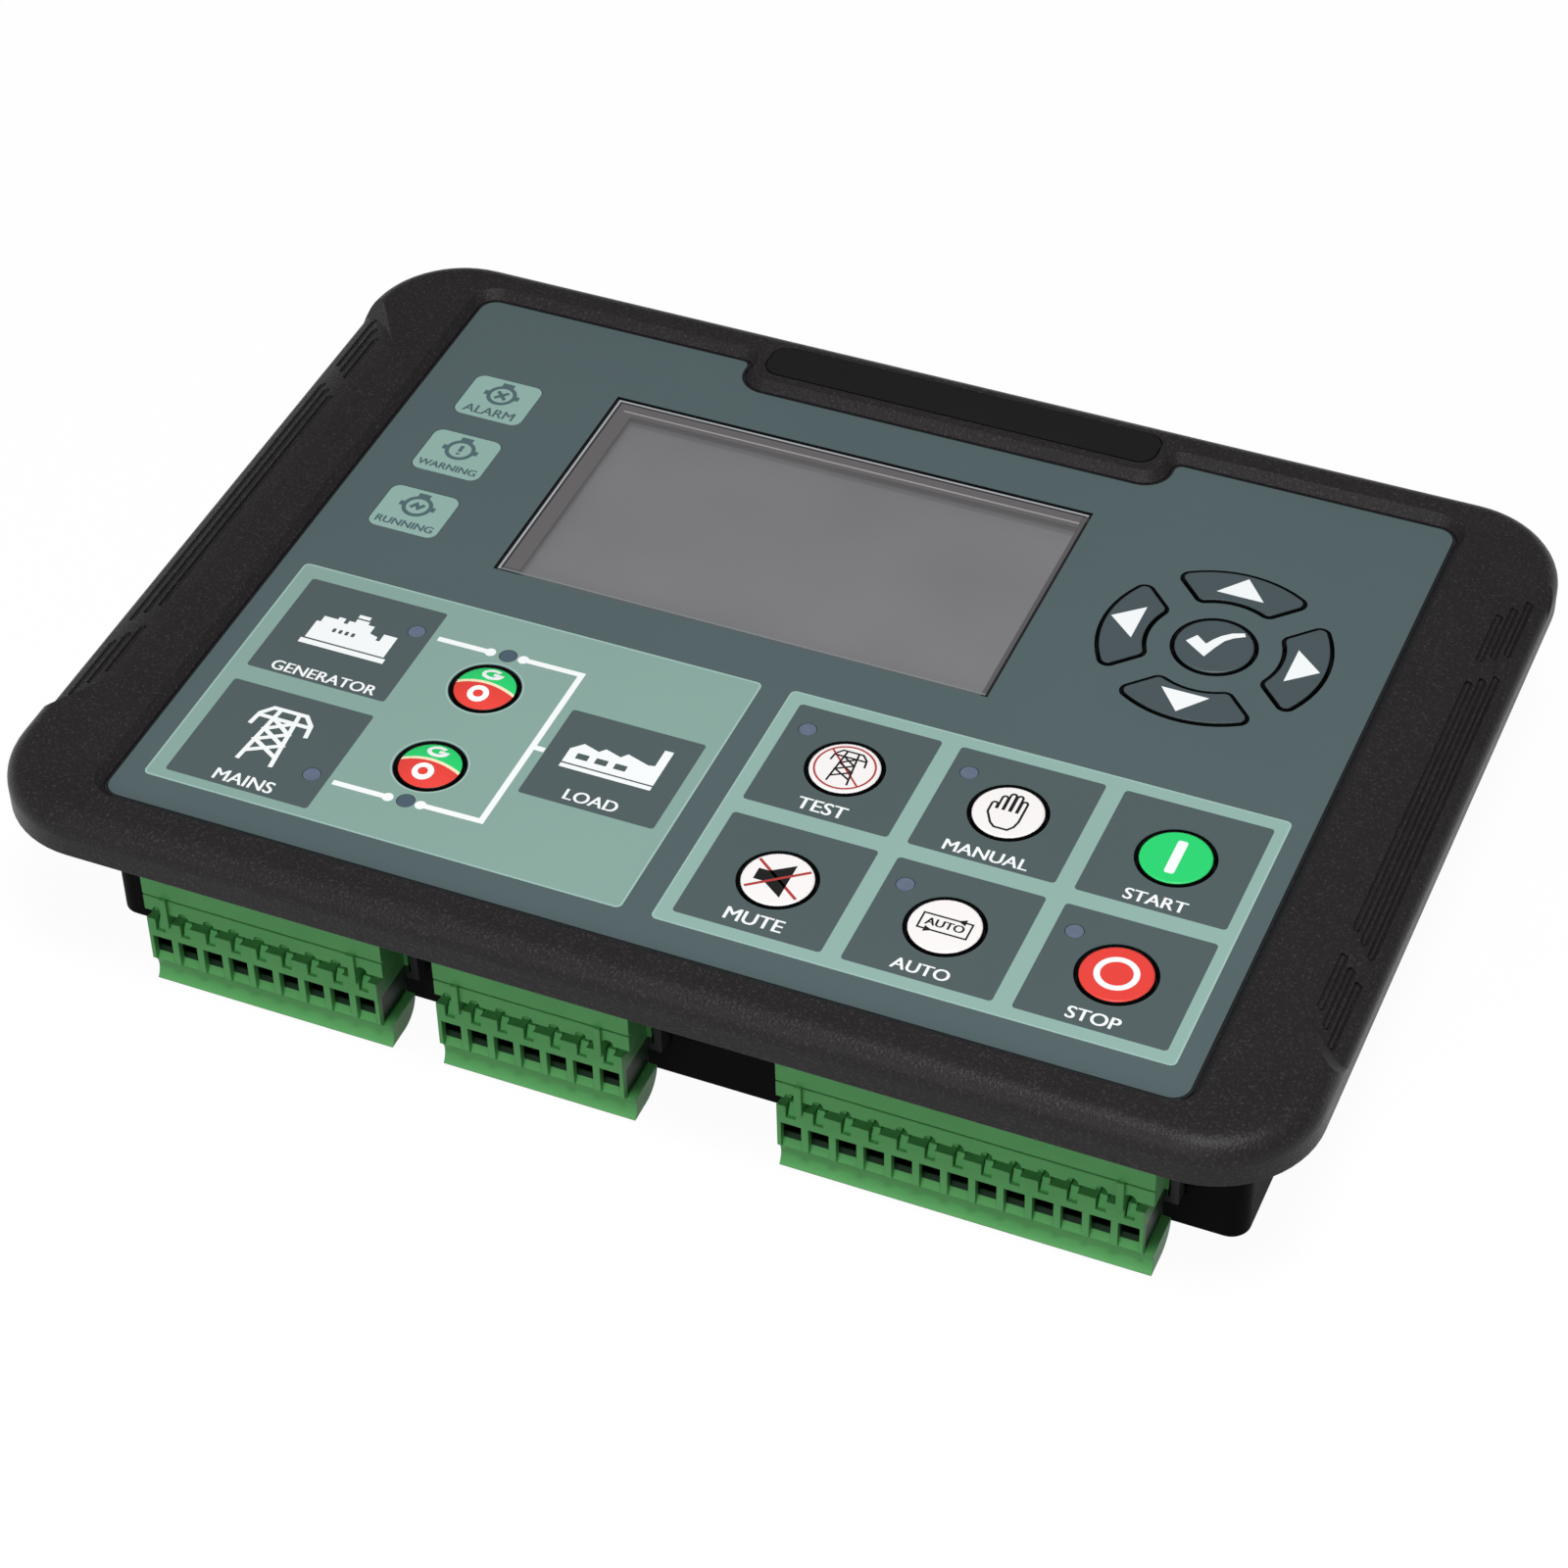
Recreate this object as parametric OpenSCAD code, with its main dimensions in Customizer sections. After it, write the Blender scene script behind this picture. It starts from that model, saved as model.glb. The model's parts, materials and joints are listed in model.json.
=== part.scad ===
// Panel-mounted controller for a generating set.
// The front faces +Z, +X is to the right and +Y is up the panel.
// The rear face of the housing rests on z = 0.

/* [Bezel] */
// Width of the front bezel
bezel_w = 198.8; // [196:0.2:216]
// Height of the front bezel
bezel_h = 144; // [143:0.5:150]
// Plan radius of the bezel corners
bezel_r = 16; // [8:0.5:18]
// Depth of the bezel from its front rim to the panel
bezel_t = 7; // [6.5:0.1:10]
// Radius of the rounded front edge
edge_r = 3.6; // [2:0.1:4]
// Height of the rim above the front film
rim_rise = 1.5; // [0.8:0.1:2.5]
// Run of the sloped wall inside the rim
rim_slope = 1.2; // [0.6:0.1:2]
// Thickness of the front plate behind the film
plate_t = 2; // [1.6:0.1:2.4]

/* [Side grips] */
// Distance of the grip's inner edge from the side
grip_w = 11.5; // [9:0.5:14]
// Drop of the grip surface at the side
grip_drop = 3.2; // [1.5:0.1:3.5]
// Length of the grip along its inner edge
grip_in = 80; // [70:1:96]
// Length of the grip along the side
grip_out = 114; // [100:1:118]
// Height of the grips' middle above the bezel's middle
grip_y = 3; // [-4:0.5:4]
// Radius of the outer edge along a grip
grip_r = 2; // [1:0.1:3]
// Run of a grip's end wall for each millimetre of its depth
grip_ramp = 1; // [0.2:0.1:1.5]
// Width of a grip groove
groove_w = 1.2; // [0.8:0.1:1.6]
// Depth of a grip groove
groove_depth = 0.7; // [0.4:0.1:1]
// Spacing of the grip grooves
groove_step = 1.6; // [1.5:0.1:2.2]
// Distance of the outermost groove from the side
groove_edge = 2.8; // [2.8:0.1:4]
// Length of the long grooves
groove_long = 63; // [50:1:64]
// Length of the outermost short grooves at both ends
groove_short = 13.5; // [8:0.5:14]
// Space between the long and the short grooves
groove_space = 4.6; // [3:0.1:5]
// Setback of each further groove's ends beside that space
groove_stagger = 1.8; // [0:0.1:2]
// Setback of each further groove's outer end
groove_taper = 2.8; // [0:0.1:3]
// Width of the bar inside a groove
bar_w = 0.5; // [0.3:0.1:0.6]
// Depth of the bar below the grip's surface
bar_drop = 0.15; // [0.1:0.05:0.3]

/* [Front film] */
// Width of the rim at each side of the film
rim_side = 17.2; // [16:0.1:19]
// Width of the rim above the film
rim_high = 7.7; // [7:0.1:9]
// Width of the rim below the film
rim_low = 8.5; // [7:0.1:10]
// Corner radius of the film
film_r = 3; // [1:0.5:5]
// Thickness of the film
film_t = 0.5; // [0.3:0.05:0.8]
// Gap round the film
film_gap = 0.25; // [0.1:0.05:0.4]

/* [Nameplate] */
// Width of the rim's tab that carries the nameplate
tab_w = 71; // [70:0.5:80]
// Place of the tab's middle, right of the bezel's middle
tab_x = 0.9; // [-2:0.1:2]
// Radius of the film's corners beside the tab
tab_corner_r = 1.5; // [0.5:0.1:2]
// Reach of the tab below the film's upper edge
tab_drop = 6.5; // [5:0.1:7]
// Radius of the tab's corners
tab_r = 4; // [3:0.1:5]
// Width of the nameplate
nameplate_w = 65.4; // [50:0.2:66]
// Height of the nameplate
nameplate_h = 7.2; // [6:0.1:7.2]
// Corner radius of the nameplate
nameplate_r = 2.6; // [1:0.1:2.9]
// Thickness of the nameplate
nameplate_t = 0.8; // [0.5:0.1:1.2]
// Distance from the tab's lower edge to the nameplate
nameplate_edge = 3.1; // [2.4:0.1:3.1]

/* [Display] */
// Distance of the window from the film's left edge
window_left = 31.3; // [29:0.1:34]
// Distance of the window from the film's right edge
window_right = 53.5; // [50:0.1:56]
// Distance of the window from the film's upper edge
window_high = 16.4; // [14:0.1:18]
// Distance of the window from the film's lower edge
window_low = 66.2; // [65:0.1:70]
// Thickness of the display window
window_t = 1.5; // [1:0.1:1.6]
// Width of the ledge that the window sits on
window_ledge = 1.5; // [1:0.1:2]
// Depth of the window's face below the film
window_sink = 0.2; // [0.1:0.05:0.5]
// Thickness of the display's backlight
backlight_t = 1.6; // [1:0.1:1.8]
// Thickness of the liquid crystal glass
glass_t = 1.3; // [0.8:0.1:1.4]
// Wall of the display's metal frame
lcd_wall = 1.2; // [0.8:0.1:1.6]
// Overlap of the display glass behind the plate
lcd_overlap = 2; // [1:0.1:2.2]

/* [Keys] */
// Diameter of the function keys
key_d = 10.5; // [9:0.1:12]
// Diameter of the breaker keys
breaker_d = 9.4; // [8:0.1:10.5]
// Diameter of the enter key
enter_d = 11.8; // [10:0.1:12.4]
// Inner radius of the cursor keys
cursor_in = 10.7; // [10.6:0.1:12]
// Outer radius of the cursor keys
cursor_out = 17; // [16:0.1:17.8]
// Radius of the cursor keys' corners
cursor_r = 1; // [0.4:0.1:1.4]
// Half width of the web between two cursor keys
cursor_web = 2.9; // [2.4:0.1:3.4]
// Gap between a key and its hole
key_gap = 0.7; // [0.3:0.05:0.8]
// Travel of a key
key_travel = 0.8; // [0.5:0.1:0.8]
// Height of a key above the film
key_proud = 0.2; // [0.1:0.1:0.9]
// Radius round a key's face
key_edge = 0.3; // [0.1:0.1:0.5]
// Rise of a breaker key's dome above its edge
key_crown = 0.7; // [0.3:0.1:1]
// Width of the collar that keeps a key behind the plate
key_collar = 0.6; // [0.4:0.1:0.8]
// Thickness of the collar
collar_t = 1; // [0.6:0.1:1.1]
// Play between a collar and the plate
collar_play = 0.3; // [0.2:0.05:0.4]
// Distance of the last column of function keys from the film's right edge
column_edge = 16.6; // [14:0.1:18]
// Spacing of the function keys' columns
column_step = 25.05; // [22:0.05:26]
// Distance of the lower row of function keys from the film's lower edge
row_edge = 19.3; // [17:0.1:20]
// Spacing of the function keys' rows
row_step = 24.7; // [23:0.1:24.8]
// Distance of the cursor keys' middle from the film's right edge
cursor_edge = 26.1; // [25:0.1:27]
// Distance of the breaker keys from the film's left edge
breaker_edge = 42; // [40:0.1:44]
// Distance of the breaker keys' middle from the film's lower edge
breaker_rise = 31.5; // [30:0.1:33]
// Spacing of the two breaker keys
breaker_step = 18.1; // [16:0.1:19]

/* [Indicators] */
// Diameter of an indicator lens
lens_d = 2.6; // [1.8:0.1:3]
// Clearance round an indicator lens
lens_gap = 0.1; // [0.05:0.05:0.2]
// Width of a status lens
status_w = 11.6; // [9:0.1:12]
// Height of a status lens
status_h = 10.2; // [8:0.1:11]
// Corner radius of a status lens
status_r = 1.6; // [0.8:0.1:3]
// Distance of the status lenses from the film's left edge
status_edge = 13.7; // [12:0.1:15]
// Spacing of the status lenses
status_step = 15; // [13:0.1:16]

/* [Housing] */
// Width of the bezel's flange at each side of the housing
flange_side = 10.4; // [9:0.1:12]
// Width of the flange above the housing
flange_high = 11; // [10:0.1:12]
// Width of the flange below the housing
flange_low = 18; // [16:0.1:19]
// Depth of the housing behind the panel
housing_depth = 29; // [28:0.5:40]
// Wall thickness of the housing
wall = 2.2; // [1.6:0.1:2.2]
// Reach of the housing into the bezel
tongue = 2; // [1:0.1:2]
// Clearance between the housing and the bezel
tongue_gap = 0.2; // [0.1:0.05:0.4]
// Corner radius of the housing
housing_r = 3; // [2.6:0.1:4]
// Distance of the screw posts from the housing's sides
post_side = 7.5; // [7:0.1:8]
// Distance of the lower screw posts from the housing's lower side
post_low = 18; // [16:0.5:22]
// Distance of the upper screw posts from the housing's upper side
post_high = 6; // [6:0.5:9]
// Diameter of the screw posts
post_d = 8; // [7.4:0.1:8.4]
// Length of a bracket slot in the housing's sides
slot_l = 14; // [8:0.5:20]
// Width of a bracket slot
slot_w = 6; // [5:0.1:8]
// Distance of the bracket slots from the housing's middle
slot_y = 30; // [24:0.5:34]
// Distance of the bracket slots behind the panel
slot_z = 12; // [10:0.5:14]
// Width of the sealing gasket
gasket_w = 4; // [3:0.1:5]
// Height of the gasket behind the bezel
gasket_proud = 0.8; // [0.4:0.1:1.2]
// Depth of the gasket's groove
gasket_groove = 2; // [1:0.1:2.2]

/* [Boards and screws] */
// Thickness of the circuit boards
board_t = 1.6; // [1:0.1:1.6]
// Clearance round the boards
board_gap = 0.5; // [0.3:0.1:1]
// Thickness of the silicone key mat
mat_t = 1; // [0.6:0.1:1.1]
// Distance of the main board's screws from the housing's sides
board_post_side = 21; // [18:0.5:24]
// Distance of the main board's lower screws from the housing's lower side
board_post_low = 30; // [27:0.5:33]
// Distance of the main board's upper screws from the housing's upper side
board_post_high = 17; // [15:0.5:19]
// Height of the main board's underside
board_z = 5; // [4.6:0.1:5.4]
// Shank diameter of the housing screws
screw_d = 3; // [2.5:0.1:3.2]
// Head diameter of the housing screws
head_d = 5.4; // [5:0.1:5.6]
// Head height of the screws
head_h = 2; // [1.5:0.1:2.4]
// Depth of the screw heads inside the housing
head_depth = 14; // [8:0.5:16]
// Clearance of a screw in its hole
screw_gap = 0.15; // [0.05:0.05:0.3]

/* [Terminals] */
// Spacing of the terminal poles
pitch = 4.16; // [4:0.02:4.3]
// Width of each plug beyond its outer poles
plug_end = 0.7; // [0.4:0.1:1]
// Distance of the poles' middle left of the plug's middle
pole_shift = 0.65; // [0:0.05:0.8]
// Setback of a plug's right end beside its wire openings
end_cut = 1.3; // [0.5:0.1:1.4]
// Radius of the lower edge behind a plug
plug_back_r = 4; // [1:0.5:5]
// Distance of the nine-pole plug from the housing's left side
plug_left = 12.8; // [11:0.1:15]
// Distance of the thirteen-pole plug from the housing's right side
plug_right = 9.8; // [9:0.1:12]
// Share of the free space between those plugs that lies left of the seven-pole plug
plug_share = 0.27; // [0.15:0.01:0.85]
// Distance of the plugs' wiring face from the housing's lower side
plug_out = 11.3; // [10:0.1:13]
// Depth of a plug's head
plug_deep = 8.4; // [8:0.1:9.5]
// Height of the plugs' lower edge
plug_z = 0.2; // [0.2:0.1:1]
// Height of a plug's flat upper strip
strip_h = 3.8; // [3:0.1:6]
// Height of the ledge below the strip
ledge_h = 2.7; // [1.2:0.1:3]
// Height of the key channel below the ledge
channel_h = 1.9; // [1.2:0.1:2.2]
// Depth of the key channel
channel_deep = 2.2; // [1.4:0.1:2.6]
// Height of the release blocks
block_h = 2.8; // [2.6:0.1:4]
// Width of a release slot
release_w = 1.5; // [1.2:0.1:1.8]
// Width of a wire opening
wire_w = 3.1; // [2.4:0.1:3.2]
// Height of a wire opening
wire_h = 5.6; // [5:0.1:6]
// Height of a wire opening above the crest of its ramp
wire_hole = 3.2; // [2.8:0.1:3.6]
// Height of the frame line round the wire openings
wire_frame = 0.7; // [0.5:0.1:1]
// Height of the plugs' lower lip
lip_h = 3.8; // [3.4:0.1:5]
// Radius of the hollow in the lip
lip_r = 3.2; // [2.4:0.1:4]
// Height of a plug's tongue in its header
tongue_h = 7; // [6:0.1:8]
// Length of a plug's tongue
tongue_l = 8; // [6:0.1:9]
// Wall of the headers
header_wall = 1.2; // [1:0.1:1.6]
// Clearance between a plug and its header
header_gap = 0.25; // [0.15:0.05:0.4]
// Width of a contact pin
pin_w = 1; // [0.8:0.05:1.1]

/* [Hidden] */
$fn = 64;
// Overrun of cutting shapes past the surface they open
over = 1;
// Overlap of rounded corners with the arcs and lines that they join
join = 0.01;

// Levels, from the rear to the front
panel_z = housing_depth;
rim_z = panel_z + bezel_t;
film_z = rim_z - rim_rise;
plate_z = film_z - film_t;
plate_under = plate_z - plate_t;
collar_top = plate_under - collar_play;
collar_z = collar_top - collar_t;
// Smallest space between a pressed collar and the mat
mat_space = 0.3;
mat_top = collar_z - key_travel - mat_space;
mat_z = mat_top - mat_t;
front_board_z = mat_z - board_t;
board_top = board_z + board_t;
// Space between a resting key and the dome below it
dome_space = 0.1;
key_top = film_z + key_proud;

// Plan places
film_w = bezel_w - 2 * rim_side;
film_h = bezel_h - rim_high - rim_low;
film_y = (rim_low - rim_high) / 2;
film_top = film_y + film_h / 2;
film_low = film_y - film_h / 2;
tab_low = film_top - tab_drop;
// Length of the tab, which runs on into the rim
tab_l = 2 * (tab_drop + rim_slope);
nameplate_y = tab_low + nameplate_edge + nameplate_h / 2;
housing_w = bezel_w - 2 * flange_side;
housing_low = flange_low - bezel_h / 2;
housing_high = bezel_h / 2 - flange_high;
housing_h = housing_high - housing_low;
housing_y = (housing_low + housing_high) / 2;
inner_w = housing_w - 2 * wall;
inner_h = housing_h - 2 * wall;
window_w = film_w - window_left - window_right;
window_h = film_h - window_high - window_low;
display_x = (window_left - window_right) / 2;
display_y = film_low + window_low + window_h / 2;
cursor_x = film_w / 2 - cursor_edge;
cursor_c = [cursor_x, display_y];
column_x = film_w / 2 - column_edge - 2 * column_step;
row_y = film_low + row_edge + row_step;
breaker_x = breaker_edge - film_w / 2;
breaker_y = film_low + breaker_rise;
function_keys = [for (row = [0, 1]) for (col = [0:2]) [column_x + col * column_step, row_y - row * row_step]];
breaker_keys = [for (side = [1, -1]) [breaker_x, breaker_y + side * breaker_step / 2]];
posts = [for (sx = [-1, 1]) for (y = [housing_low + post_low, housing_high - post_high])
    [sx * (housing_w / 2 - post_side), y]];
status_places = [for (i = [-1:1]) [status_edge - film_w / 2, display_y + i * status_step]];
// Offset of a function key's indicator from the key
lens_off = [-8.2, 5.8];
// Heights of the indicators on the supply lines above and below the breaker keys
line_reach = 16.9;
// Distance of the source indicators left of the breaker keys
source_reach = 15.1;
lens_places = concat(
    [for (i = [0, 1, 4, 5]) function_keys[i] + lens_off],
    [for (x = [0, source_reach]) for (side = [1, -1]) [breaker_x - x, breaker_y + side * line_reach]]);

// Display stack
lcd_w = window_w + 2 * lcd_overlap;
lcd_h = window_h + 2 * lcd_overlap;
window_front = film_z - window_sink;
window_z = window_front - window_t;

// Terminal rows
function plug_w(poles) = poles * pitch + 2 * plug_end;
plug_9_x = plug_left - housing_w / 2 + plug_w(9) / 2;
plug_13_x = housing_w / 2 - plug_right - plug_w(13) / 2;
plug_free = housing_w - plug_left - plug_right - plug_w(9) - plug_w(7) - plug_w(13);
plug_7_x = plug_9_x + plug_w(9) / 2 + plug_share * plug_free + plug_w(7) / 2;
plugs = [[9, plug_9_x], [7, plug_7_x], [13, plug_13_x]];
function pole_x(poles, i) = (i - (poles - 1) / 2) * pitch - pole_shift;
plug_face = housing_low - plug_out;
lip_top = plug_z + lip_h;
wire_top = lip_top + wire_h;
block_top = wire_top + wire_frame + block_h;
channel_top = block_top + channel_h;
ledge_top = channel_top + ledge_h;
plug_top = ledge_top + strip_h;
plug_back = plug_face + plug_deep;
tongue_mid = board_top + header_wall + header_gap + tongue_h / 2;
header_front = plug_back + header_gap;
header_back = header_front + tongue_l + header_gap + 2 * header_wall;
// Reach of a header's legs behind its body
leg_reach = 2;
// Setback of a pin's tip inside its header
pin_setback = 2;
pin_front = header_front + header_gap + pin_setback;
// Depth and height of the pocket for a wire clamp, and its setback behind the wiring face
clamp_deep = 3;
clamp_h = 3.4;
clamp_setback = 4.4;
clamp_front = plug_face + clamp_setback;
// Wall that is left between a clamp and its pocket
clamp_gap = 0.15;

// Basic shapes

module rounded_rect(size, r) {
    square([size.x - 2 * r, size.y], center = true);
    square([size.x, size.y - 2 * r], center = true);
    for (sx = [-1, 1]) for (sy = [-1, 1])
        translate([sx * (size.x / 2 - r), sy * (size.y / 2 - r)]) circle(r);
}

// A slab whose edge section is the child: x runs outwards from the corner's centre, y is height
module slab(w, h, r, z0, z1) {
    long_x = w - 2 * r;
    long_y = h - 2 * r;
    translate([-long_x / 2, -long_y / 2, z0]) cube([long_x, long_y, z1 - z0]);
    for (turn = [0, 180]) rotate(turn) {
        translate([long_x / 2, long_y / 2, 0]) rotate([90, 0, 0]) linear_extrude(long_y) children();
        translate([-long_x / 2, long_y / 2, 0]) rotate([90, 0, 90]) linear_extrude(long_x) children();
        translate([long_x / 2, long_y / 2, 0]) rotate_extrude(angle = 90) children();
        translate([-long_x / 2, long_y / 2, 0]) rotate(90) rotate_extrude(angle = 90) children();
    }
}

module stadium(l, w) {
    square([w, l - w], center = true);
    for (s = [-1, 1]) translate([0, s * (l - w) / 2]) circle(d = w);
}

// Bezel

module bezel_edge() {
    translate([0, panel_z]) difference() {
        square([bezel_r, bezel_t]);
        translate([bezel_r - edge_r, bezel_t - edge_r]) difference() {
            square(edge_r + over);
            circle(edge_r);
        }
    }
}

module recess_edge(r) {
    polygon([[0, plate_z], [r, plate_z], [r, film_z], [r + rim_slope, rim_z], [r + rim_slope, rim_z + over],
        [0, rim_z + over]]);
}

module tab_edge() {
    polygon([[0, plate_z - over], [tab_r, plate_z - over], [tab_r, film_z], [tab_r - rim_slope, rim_z],
        [tab_r - rim_slope, rim_z + 2 * over], [0, rim_z + 2 * over]]);
}

module film_recess() {
    difference() {
        translate([0, film_y, 0])
            slab(film_w + 2 * film_gap, film_h + 2 * film_gap, film_r + film_gap, plate_z, rim_z + over)
            recess_edge(film_r + film_gap);
        translate([tab_x, tab_low + tab_l / 2, 0])
            slab(tab_w, tab_l, tab_r, plate_z - over, rim_z + 2 * over) tab_edge();
        at_tab_corners() difference() {
            corner = tab_corner_r + film_gap + rim_slope + over;
            translate([0, 0, plate_z - over]) cube([corner, corner, rim_z - plate_z + 3 * over]);
            rotate_extrude(angle = 90) recess_edge(tab_corner_r + film_gap);
        }
    }
}

// Centres of the film's corners beside the tab, with X towards the tab
module at_tab_corners() {
    side = tab_w / 2 + film_gap + tab_corner_r;
    for (s = [-1, 1]) translate([tab_x + s * side, film_top - tab_corner_r, 0])
        mirror([s > 0 ? 1 : 0, 0, 0]) children();
}

// A grip is a hollow of one large radius, level at its inner edge, with a rounded outer edge
grip_x = bezel_w / 2 - grip_w;
grip_arc = (grip_w * grip_w + grip_drop * grip_drop) / (2 * grip_drop);
grip_z = rim_z - grip_arc;
grip_edge = [grip_w - grip_r, sqrt(pow(grip_arc - grip_r, 2) - pow(grip_w - grip_r, 2))];

// Space above the right grip, with X outwards and Z up
module grip_section() {
    translate([grip_x, grip_z]) difference() {
        translate([0, grip_edge.y]) square([grip_w + over, grip_arc - grip_edge.y + over]);
        intersection() {
            circle(grip_arc);
            polygon([[0, 0], [0, 2 * grip_arc], 2 * grip_edge]);
        }
        translate(grip_edge) circle(grip_r);
    }
}

// Everything on the inner side of a grip's upper end wall
module grip_end() {
    translate([grip_x, grip_in / 2, rim_z]) rotate(atan2((grip_out - grip_in) / 2, grip_w))
        rotate([-atan(grip_ramp), 0, 0]) translate([-bezel_h, -2 * bezel_h, -bezel_h])
        cube([2 * bezel_h, 2 * bezel_h, 2 * bezel_h]);
}

module grip_cut() {
    translate([0, grip_y, 0]) intersection() {
        translate([0, bezel_h / 2, 0]) rotate([90, 0, 0]) linear_extrude(bezel_h) grip_section();
        grip_end();
        mirror([0, 1, 0]) grip_end();
    }
}

// A groove with a bar in it, between two places along Y
module groove(low, high) {
    translate([0, (low + high) / 2, grip_arc]) {
        translate([0, 0, -groove_depth]) linear_extrude(groove_depth + over) difference() {
            stadium(high - low, groove_w);
            stadium(high - low - groove_w + bar_w, bar_w);
        }
        translate([0, 0, -bar_drop]) linear_extrude(bar_drop + over) stadium(high - low, groove_w);
    }
}

module grip_grooves() {
    translate([grip_x, grip_y, grip_z]) for (i = [0:2]) {
        long = groove_long / 2 - i * groove_stagger;
        short = groove_long / 2 + groove_space + groove_short - i * groove_taper;
        rotate([0, asin((grip_w - groove_edge - i * groove_step) / grip_arc), 0]) {
            groove(-long, long);
            groove(long + groove_space, short);
            groove(-short, -long - groove_space);
        }
    }
}

// Outline of a cursor key: a piece of a ring with rounded corners, wider by a margin
module cursor_shape(turn, grow) {
    web = cursor_web - grow;
    r = cursor_r + grow;
    mid = web + r;
    far = sqrt(pow(cursor_out - cursor_r, 2) - mid * mid);
    near = sqrt(pow(cursor_in + cursor_r, 2) - mid * mid);
    translate(cursor_c) rotate(turn + 45) {
        intersection() {
            difference() {
                circle(cursor_out + grow);
                circle(cursor_in - grow);
            }
            polygon([[0, 0], [near, mid], [far, mid], 2 * [far, mid], 2 * [mid, far], [mid, far],
                [mid, near]]);
        }
        for (x = [near, far]) {
            translate([x, mid]) circle(r + join);
            translate([mid, x]) circle(r + join);
        }
        translate([near, web]) square([far - near, r]);
        translate([web, near]) square([r, far - near]);
    }
}

// Every opening for a key, wider by a margin
module key_openings(grow) {
    for (p = function_keys) translate(p) circle(d = key_d + 2 * grow);
    for (p = breaker_keys) translate(p) circle(d = breaker_d + 2 * grow);
    translate(cursor_c) circle(d = enter_d + 2 * grow);
    for (turn = [0:90:270]) cursor_shape(turn, grow);
}

module lens_openings() {
    for (p = lens_places) translate(p) circle(d = lens_d + 2 * lens_gap);
    for (p = status_places) translate(p)
        rounded_rect([status_w + 2 * lens_gap, status_h + 2 * lens_gap], status_r + lens_gap);
}

module front_bezel() color("#2b2a2d") {
    difference() {
        slab(bezel_w, bezel_h, bezel_r, panel_z, rim_z) bezel_edge();
        film_recess();
        translate([0, housing_y, panel_z - over]) linear_extrude(plate_under - panel_z + over)
            rounded_rect([housing_w + 2 * tongue_gap, housing_h + 2 * tongue_gap], housing_r + tongue_gap);
        translate([0, 0, plate_under - over]) linear_extrude(plate_t + 2 * over) {
            key_openings(key_gap);
            lens_openings();
        }
        translate([display_x, display_y, window_z])
            linear_extrude(window_t + over) square([window_w, window_h], center = true);
        translate([display_x, display_y, plate_under - over]) linear_extrude(plate_t + 2 * over)
            square([window_w - 2 * window_ledge, window_h - 2 * window_ledge], center = true);
        translate([tab_x, nameplate_y, rim_z - nameplate_t]) linear_extrude(nameplate_t + over)
            rounded_rect([nameplate_w + 2 * film_gap, nameplate_h + 2 * film_gap], nameplate_r + film_gap);
        for (s = [0, 1]) mirror([s, 0, 0]) {
            grip_cut();
            grip_grooves();
        }
        translate([0, 0, panel_z - over]) linear_extrude(gasket_groove + over) gasket_shape(film_gap);
    }
    for (p = posts) translate([p.x, p.y, mat_z]) difference() {
        cylinder(d = small_post_d, h = plate_under - mat_z);
        translate([0, 0, -over]) cylinder(d = screw_d + 2 * screw_gap, h = plate_under - mat_z + over);
    }
}

module nameplate() color("#17171a")
    translate([tab_x, nameplate_y, rim_z - nameplate_t]) linear_extrude(nameplate_t)
        rounded_rect([nameplate_w, nameplate_h], nameplate_r);

module front_film() color("#52626a") {
    translate([0, 0, plate_z]) linear_extrude(film_t) difference() {
        translate([0, film_y]) rounded_rect([film_w, film_h], film_r);
        translate([tab_x, tab_low + tab_l / 2])
            rounded_rect([tab_w + 2 * film_gap, tab_l + 2 * film_gap], tab_r + film_gap);
        at_tab_corners() difference() {
            square(tab_corner_r + over);
            circle(tab_corner_r);
        }
        key_openings(key_gap);
        lens_openings();
        translate([display_x, display_y])
            square([window_w + 2 * film_gap, window_h + 2 * film_gap], center = true);
    }
}

// Corner radius of the gasket's middle line
gasket_r = housing_r + gasket_w;

module gasket_shape(grow) {
    // Middle line of the gasket, halfway between the housing and the bezel's side
    side = (bezel_w - housing_w) / 4 + housing_w / 2;
    low = (housing_low - bezel_h / 2) / 2;
    high = (housing_high + bezel_h / 2) / 2;
    half = gasket_w / 2 + grow;
    translate([0, (low + high) / 2]) difference() {
        rounded_rect([2 * (side + half), high - low + 2 * half], gasket_r + half);
        rounded_rect([2 * (side - half), high - low - 2 * half], gasket_r - half);
    }
}

module panel_gasket() color("#1d1d1d")
    translate([0, 0, panel_z - gasket_proud]) linear_extrude(gasket_proud + gasket_groove) gasket_shape(0);

// Rear housing

// Width of the posts under the boards, and of the pilot holes in them
small_post_d = post_d - 1;
pilot_d = screw_d - 0.4;
// Width of a screw's hexagon socket as a share of its head
socket_share = 0.45;

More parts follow.
